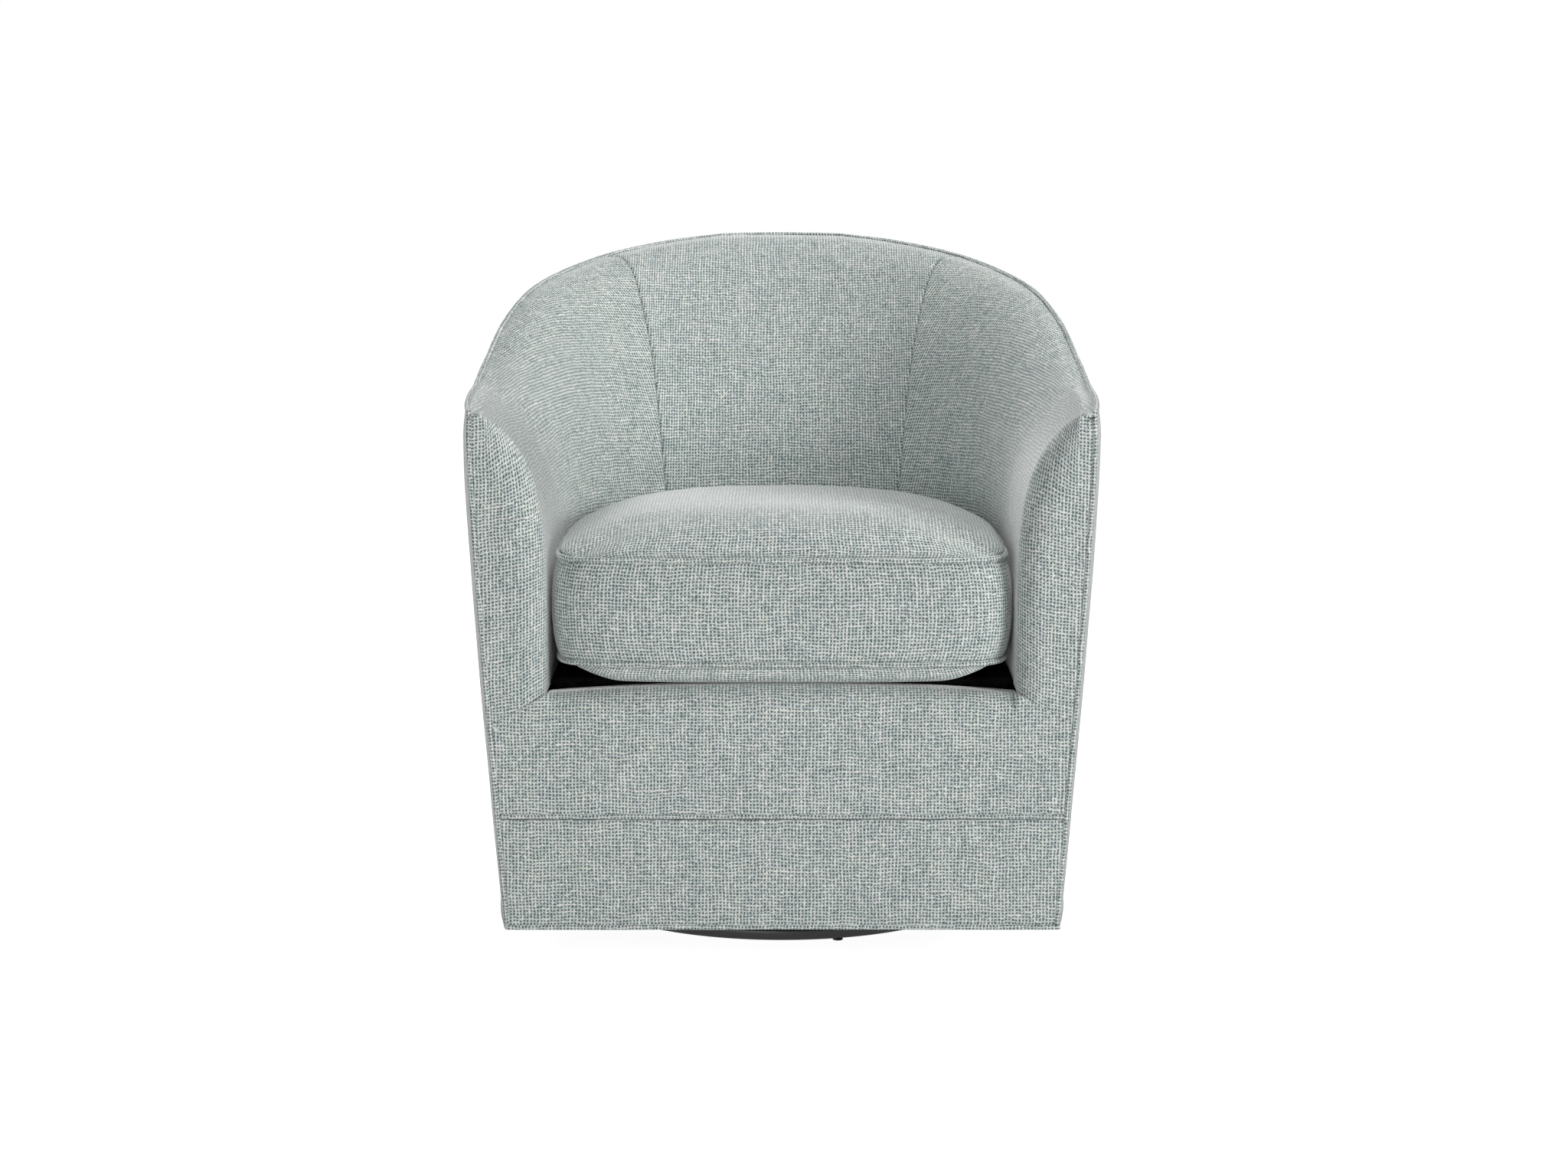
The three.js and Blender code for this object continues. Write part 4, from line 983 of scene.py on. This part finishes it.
def addTurned(name, node, profile, material, steps, centre=(0, 0)):
    shape = turned(profile, steps)
    bmesh.ops.translate(shape, vec=(*centre, 0), verts=shape.verts[:])
    piece = addPiece(name, shape, material, "base")
    limit = {"limit_method": "ANGLE", "angle_limit": math.radians(base["bevelFrom"])}
    setAll(piece.modifiers.new("edges", "BEVEL"), width=base["bevel"], segments=2, **limit)
    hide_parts(node)


def rounded(middleR, middleZ, radius, start, end, steps):
    angles = [math.radians(lerp(start, end, t)) for t in shares(steps)]
    return [(middleR + radius * math.cos(a), middleZ + radius * math.sin(a)) for a in angles]


def addBase(lacquer, nylon):
    rim, foot = base["rimRadius"], base["footRadius"]
    profile = [(base["bore"], base["low"])]
    profile += rounded(base["radius"] - foot, base["low"] + foot, foot, -90, 0, 4)
    profile += rounded(base["radius"] - rim, base["top"] - rim, rim, 0, 90, 12)
    profile += [(base["bore"], base["top"]), (base["bore"], base["low"])]
    addTurned("base_disc_turned", "base_disc", profile, lacquer, base["steps"])
    radius, edge, height = base["glideRadius"], base["glideRound"], base["glideHeight"]
    profile = [(0, 0)] + rounded(radius - edge, edge, edge, -90, 0, 4)
    profile += [(radius - base["glideTaper"], height), (0, height)]
    for i in range(4):
        a = math.radians(base["glideAngle"] - 90 + 90 * i)
        place = (base["glideCircle"] * math.cos(a), base["glideCircle"] * math.sin(a))
        name = f"base_glide_{i + 1}"
        addTurned(f"{name}_turned", name, profile, nylon, base["glideSteps"], place)


swivel = {
    "raceRadius": 0.100,
    "cageHalfWidth": 0.005,
    "cageThickness": 0.0014,
    "steps": 120,
    "ballRadius": 0.0029,
    "ballRings": 12,
    "balls": 12,
}


def addBallCage(steel):
    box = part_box("swivel_ball_cage")
    z = (box[0].z + box[1].z) / 2
    race, half, thick = swivel["raceRadius"], swivel["cageHalfWidth"], swivel["cageThickness"] / 2
    corners = [(race - half, z - thick), (race + half, z - thick), (race + half, z + thick), (race - half, z + thick)]
    shape = turned(corners + corners[:1], swivel["steps"])
    rings, radius = swivel["ballRings"], swivel["ballRadius"]
    for i in range(swivel["balls"]):
        a = 2 * math.pi * i / swivel["balls"]
        ball = bmesh.ops.create_uvsphere(shape, u_segments=2 * rings, v_segments=rings, radius=radius)["verts"]
        bmesh.ops.translate(shape, vec=(race * math.cos(a), race * math.sin(a), z), verts=ball)
    piece = addPiece("swivel_ball_ring", shape, steel, "cage")
    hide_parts("swivel_ball_cage")


# Materials
def toLinear(code):  # an sRGB hex value as a linear colour
    values = [int(code[i : i + 2], 16) / 255 for i in (1, 3, 5)]
    return [v / 12.92 if v <= 0.04045 else ((v + 0.055) / 1.055) ** 2.4 for v in values] + [1]


def put(tree, kind, inputs=(), out=0, **settings):  # adds a node and gives back one of its outputs
    made = tree.nodes.new("ShaderNode" + kind)
    setAll(made, **settings)
    for socket, value in inputs.items() if isinstance(inputs, dict) else enumerate(inputs):
        if isinstance(value, bpy.types.NodeSocket):
            tree.links.new(value, made.inputs[socket])
        else:
            made.inputs[socket].default_value = value
    return made.outputs[out]


def reckon(tree, operation, *values):
    return put(tree, "Math", values, operation=operation)


def scaled(tree, value, factors, extra=()):  # three values times factors, plus the extra where it is given
    operation = "MULTIPLY_ADD" if extra else "MULTIPLY"
    return put(tree, "VectorMath", (value, factors, *extra), operation=operation)


def blend(tree, share, *colors):  # of two hex values or outputs
    low, high = [toLinear(color) if isinstance(color, str) else color for color in colors]
    return put(tree, "Mix", {"Factor": share, 6: low, 7: high}, out=2, data_type="RGBA")


def stretch(tree, value, start, end):  # 0 at the start and 1 at the end
    return put(tree, "MapRange", {"Value": value, "From Min": start, "From Max": end})


def startMaterial(name):
    material = bpy.data.materials.new(name)
    material.use_nodes = True
    return material, material.node_tree


def finishMaterial(material, **inputs):  # sets or links the shader's own sockets
    tree = material.node_tree
    for name, value in inputs.items():
        socket = tree.nodes["Principled BSDF"].inputs[name.replace("_", " ")]
        if isinstance(value, bpy.types.NodeSocket):
            tree.links.new(value, socket)
        else:
            socket.default_value = value
    return material


# Polyester and linen-look upholstery cloth, plain woven of slubbed yarns: a pale grid with dark pinholes; the dark of
# the pinholes and of the lower yarn is painted shade that deepens into the weave
weave = {
    "pitch": 0.00407,  # between threads
    "drift": ((0.07, 0.5, 0.9), (0.4, 0.1, 0.25), (0.9, 0.24, 0.34)),  # rate per thread, then threads across and up
    "yarns": ((3.7, 0, 1), (41.3, math.pi, 0.93)),  # seed, phase and gain of the warp and of the weft
    "apart": 7.31,  # between one yarn and the next in the noise
    "slubRate": 0.12,  # per thread
    "width": (0.2, 0.56),  # of a yarn by its slubs and by its fuzz
    "lift": (1.05, 1.5),  # likewise its height
    "cross": (0.12, -0.28),  # its height where it crosses over, and below all
    "roundness": 1.2,
    "colors": ("#566467", "#94a0a0", "#c1cbc8", "#fdfffb"),  # of the holes, then of ever higher yarn: painted shade, darkest in the holes and lightening with the yarn's height
    "heights": ((0.03, 0.3), (0.3, 0.65), (0.65, 1.1)),  # over which each turns into the next
    "tint": 0.16,
    "depth": 0.0005,
    "sheen": 1.0,
    "specular": 0.2,
}
# Finer black cloth of the deck, nearly even to the eye, with a faint grid close by; its near-black is partly the
# cloth's own and partly painted shade, darkened so the shaded gap under the cushion renders black
deckWeave = {
    **weave,
    "pitch": 0.0011,
    "colors": ("#020203", "#0a0a0b", "#131315", "#222225"),
    "depth": 0.0002,
    "sheen": 0.0,
    "specular": 0.03,
}


def wovenCloth(name, look):
    material, tree = startMaterial(name)
    uv = put(tree, "TexCoord", out="UV")
    place = put(tree, "VectorMath", {0: uv, "Scale": 1 / look["pitch"]}, operation="SCALE")
    threads = place
    for rate, across, up in look["drift"]:
        wave = put(tree, "TexNoise", {"Vector": threads, "Scale": rate, "Detail": 1}, out="Color")
        shift = put(tree, "VectorMath", (wave, (0.5, 0.5, 0.5)), operation="SUBTRACT")
        place = scaled(tree, shift, (across * 2, up * 2, 0), (place,))
    u, v = put(tree, "SeparateXYZ", (place,)).node.outputs[:2]
    lights, tints = [], []
    for across, along, (seed, phase, gain) in zip((u, v), (v, u), look["yarns"]):
        index = reckon(tree, "FLOOR", across)
        part = reckon(tree, "FRACT", across)
        yarn = put(tree, "CombineXYZ", (reckon(tree, "MULTIPLY_ADD", index, look["apart"], seed), along))
        slow = scaled(tree, yarn, (1, look["slubRate"], 1))
        slub = put(tree, "TexNoise", {"Vector": slow, "Scale": 1, "Detail": 2, "Roughness": 0.6}).node
        fuzz = put(tree, "TexNoise", {"Vector": yarn, "Scale": 1, "Detail": 2, "Roughness": 0.7})
        width = reckon(tree, "MULTIPLY", slub.outputs[0], look["width"][0])
        width = reckon(tree, "MULTIPLY_ADD", fuzz, look["width"][1], width)
        away = reckon(tree, "ABSOLUTE", reckon(tree, "SUBTRACT", part, 0.5))
        fall = reckon(tree, "POWER", reckon(tree, "DIVIDE", away, width), look["roundness"])
        profile = put(tree, "Math", (1, fall), operation="SUBTRACT", use_clamp=True)
        turn = reckon(tree, "MULTIPLY_ADD", index, math.pi, phase)
        wave = reckon(tree, "SINE", reckon(tree, "MULTIPLY_ADD", along, math.pi, turn))
        lift = reckon(tree, "MULTIPLY_ADD", wave, *look["cross"])
        lift = reckon(tree, "MULTIPLY_ADD", slub.outputs[0], look["lift"][0], lift)
        lift = reckon(tree, "MULTIPLY_ADD", fuzz, look["lift"][1], lift)
        lift = reckon(tree, "MULTIPLY", lift, gain)
        lights.append(reckon(tree, "MULTIPLY", profile, lift))
        tints.append(slub.outputs[1])
    light = reckon(tree, "MAXIMUM", *lights)
    tint = blend(tree, reckon(tree, "GREATER_THAN", *lights), *reversed(tints))
    # painted shade: by the yarn's height, the colour runs from the dark holes up to the pale topmost yarn
    color, *shades = look["colors"]
    for shade, (start, end) in zip(shades, look["heights"]):
        color = blend(tree, stretch(tree, light, start, end), color, shade)
    tint = scaled(tree, tint, (look["tint"],) * 3, ((1 - look["tint"] / 2,) * 3,))
    color = put(tree, "VectorMath", (color, tint), operation="MULTIPLY")
    bump = put(tree, "Bump", {"Height": light, "Distance": look["depth"], "Strength": 0.5})
    gloss = {"Roughness": 0.92, "Specular_IOR_Level": look["specular"]}
    sheen = {"Sheen_Weight": look["sheen"], "Sheen_Roughness": 0.3}
    return finishMaterial(material, Base_Color=color, Normal=bump, **gloss, **sheen)


# Finishes with a fine mottle: the ends of its colour and roughness, its rates per metre along x, y and z, and its depth
looks = {
    # thin non-woven sheet, dull black with paler fibres
    "black_cambric": ("#060607", "#1c1c1e", 0.8, 0.95, (700, 260, 400), 2e-4),
    # satin black disc that shows a soft band of the bright room along its rim
    "black_satin_lacquer": ("#080808", "#101010", 0.26, 0.34, (60, 60, 60), 2e-5),
    # moulded feet, a shade greyer and duller than the disc
    "black_nylon": ("#0d0d0e", "#1b1b1c", 0.45, 0.6, (900, 900, 900), 5e-5),
    # bright cloudy plating of the swivel, its balls, screws and staples
    "zinc_plated_steel": ("#94989d", "#cdd0d4", 0.26, 0.42, (140, 140, 140), 2e-5),
    # dark oiled wire of the seat springs
    "oiled_spring_steel": ("#3a3c3e", "#787a7c", 0.32, 0.5, (70, 70, 70), 3e-5),
}


def mottledFinish(name):
    low, high, smooth, rough, rates, depth = looks[name]
    material, tree = startMaterial(name)
    place = scaled(tree, put(tree, "TexCoord", out="Object"), rates)
    mottle = put(tree, "TexNoise", {"Vector": place, "Scale": 1, "Detail": 3, "Roughness": 0.6})
    share = stretch(tree, mottle, 0.3, 0.7)
    color = blend(tree, share, low, high)
    sheer = put(tree, "MapRange", {"Value": share, "To Min": smooth, "To Max": rough})
    bump = put(tree, "Bump", {"Height": mottle, "Distance": depth})
    metal = 1.0 if "steel" in name else 0.0
    return finishMaterial(material, Base_Color=color, Roughness=sheer, Normal=bump, Metallic=metal)


# Sawn timber of the frame, pale straw with darker growth rings that run along each rail, and ply edges in the boards
timber = {
    "pale": "#dcc093",
    "ring": "#b08550",
    "fibre": "#8c6539",
    "ringRates": (3, 70),  # per metre along the grain and across it
    "rings": 28,
    "fibreRates": (40, 1400),
    "fibreShare": (0.45, 0.8),
    "waver": 0.4,
    "ply": 0.0014,
    "plyEdge": 0.2,
    "plyShade": 0.45,
    "depth": 0.0003,
}


def sawnTimber(name, axis, plies=False):
    material, tree = startMaterial(name)
    place = put(tree, "TexCoord", out="Object")

    def grain(rates, detail):
        along = scaled(tree, place, [rates[0] if i == axis else rates[1] for i in range(3)])
        look = {"Vector": along, "Scale": 1, "Detail": detail, "Distortion": timber["waver"]}
        return put(tree, "TexNoise", look)

    rings, fibres = grain(timber["ringRates"], 1), grain(timber["fibreRates"], 3)
    ring = reckon(tree, "SINE", reckon(tree, "MULTIPLY", rings, timber["rings"]))
    color = blend(tree, stretch(tree, ring, -1, 1), timber["pale"], timber["ring"])
    color = blend(tree, stretch(tree, fibres, *timber["fibreShare"]), color, timber["fibre"])
    if plies:
        height = put(tree, "SeparateXYZ", (place,), out=2)
        layer = reckon(tree, "SINE", reckon(tree, "MULTIPLY", height, math.pi / timber["ply"]))
        edge = {"From Min": -timber["plyEdge"], "From Max": timber["plyEdge"], "To Max": timber["plyShade"]}
        share = put(tree, "MapRange", {"Value": layer, **edge})
        color = blend(tree, share, color, timber["fibre"])
    rough = put(tree, "MapRange", {"Value": fibres, "To Min": 0.55, "To Max": 0.8})
    bump = put(tree, "Bump", {"Height": fibres, "Distance": timber["depth"]})
    return finishMaterial(material, Base_Color=color, Roughness=rough, Normal=bump)


# Studio
studio = {
    "floorHalf": 12,
    "floorShare": 0.8,  # of the light that the floor gives back
    "floorGlow": 0.93,  # of the floor as the camera sees it
    "aimHeight": 0.45,
    "worldStrength": 0.12,
    "lamps": (  # name, place, width and watts
        ("key", (3.4, -2.6, 1.6), 1.5, 80),
        ("fill", (-1.0, -3.6, 0.6), 2.0, 28),
        ("top", (0.8, 0.6, 4.0), 2.5, 68),
        ("rear", (-2.4, 3.0, 2.6), 2.0, 45),
    ),
}


def seen(tree):  # 1 for what the camera sees, straight or by way of gloss or glass
    light = put(tree, "LightPath").node.outputs
    direct = reckon(tree, "MAXIMUM", light["Is Camera Ray"], light["Is Glossy Ray"])
    return reckon(tree, "MAXIMUM", direct, light["Is Transmission Ray"])


def addStudio():
    scene = bpy.context.scene
    scene.view_settings.view_transform = "Standard"
    world = bpy.data.worlds.new("studio")
    scene.world = world
    world.use_nodes = True
    tree = world.node_tree
    tree.nodes.clear()
    strength = put(tree, "Mix", {"Factor": seen(tree), 2: studio["worldStrength"], 3: 1.0}, data_type="FLOAT")
    sky = put(tree, "Background", {"Color": (1, 1, 1, 1), "Strength": strength})
    tree.links.new(sky, tree.nodes.new("ShaderNodeOutputWorld").inputs["Surface"])

    material, tree = startMaterial("matt_white_paper")
    tree.nodes.remove(tree.nodes["Principled BSDF"])
    glow = reckon(tree, "MULTIPLY", seen(tree), studio["floorGlow"])
    paper = put(tree, "BsdfDiffuse", {"Color": (studio["floorShare"],) * 3 + (1,)})
    shine = put(tree, "Emission", {"Color": (1, 1, 1, 1), "Strength": glow})
    tree.links.new(put(tree, "AddShader", (paper, shine)), tree.nodes["Material Output"].inputs["Surface"])
    shape = bmesh.new()
    bmesh.ops.create_grid(shape, x_segments=4, y_segments=4, size=studio["floorHalf"])
    floor = addObject("floor", shape, material)

    for name, place, size, power in studio["lamps"]:
        lamp = bpy.data.lights.new(name, "AREA")
        setAll(lamp, shape="DISK", size=size, energy=power)
        holder = bpy.data.objects.new(name, lamp)
        scene.collection.objects.link(holder)
        aim = Vector((0, 0, studio["aimHeight"])) - Vector(place)
        setAll(holder, location=place, rotation_euler=aim.to_track_quat("-Z", "Y").to_euler())


addCamera()
cloth = wovenCloth("woven_polyester_linen", weave)
cambric, lacquer, nylon, zinc, springSteel = [mottledFinish(name) for name in looks]
timbers = [sawnTimber(f"sawn_hardwood_{axis}", i) for i, axis in enumerate("xyz")]
plywood = sawnTimber("birch_plywood", 0, plies=True)
finishes = {"lining": cambric, "steel": zinc, "base": lacquer, "glide": nylon, "fabric": cloth}
addInsideBack(cloth)
addInsideArm(-1, "left", cloth)
addInsideArm(1, "right", cloth)
seam = seamWalk(1)
cornerWalk = armWalk(2 * chair["weltRadius"] + chair["seamGap"] - upholstery["lap"], 1)
addOutside("outside_back_panel", -seam, seam, 130, {"start": plainSeam, "end": plainSeam}, cloth)
addOutside("outside_arm_panel_left", -cornerWalk, -seam, 120, {"start": cordSeam, "end": plainSeam}, cloth)
addOutside("outside_arm_panel_right", seam, cornerWalk, 120, {"start": plainSeam, "end": cordSeam}, cloth)
addFrontRail(cloth)
addBorder(cloth)
print("covers done")
addWelts(cloth)
addCushion(cloth)
print("cushion done")
# the deck's cloth is near-black, partly its own colour and partly painted shade
addDeck(wovenCloth("black_deck_cloth_with_painted_shade", deckWeave))
addDustCover(cambric, zinc)
addBase(lacquer, nylon)
addBallCage(zinc)
print("deck, dust cover and base done")


def finishOf(name, slot):
    if slot == "wood":
        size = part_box(name)[1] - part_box(name)[0]
        return plywood if "board" in name else timbers[list(size).index(max(size))]
    return springSteel if "spring" in name else finishes[slot]


for row in frame["record"]["subparts"]:
    node = frame["nodes"][row["node"]]
    node.data.materials.clear()
    node.data.materials.append(finishOf(row["node"], row["material_slot"]))

addStudio()
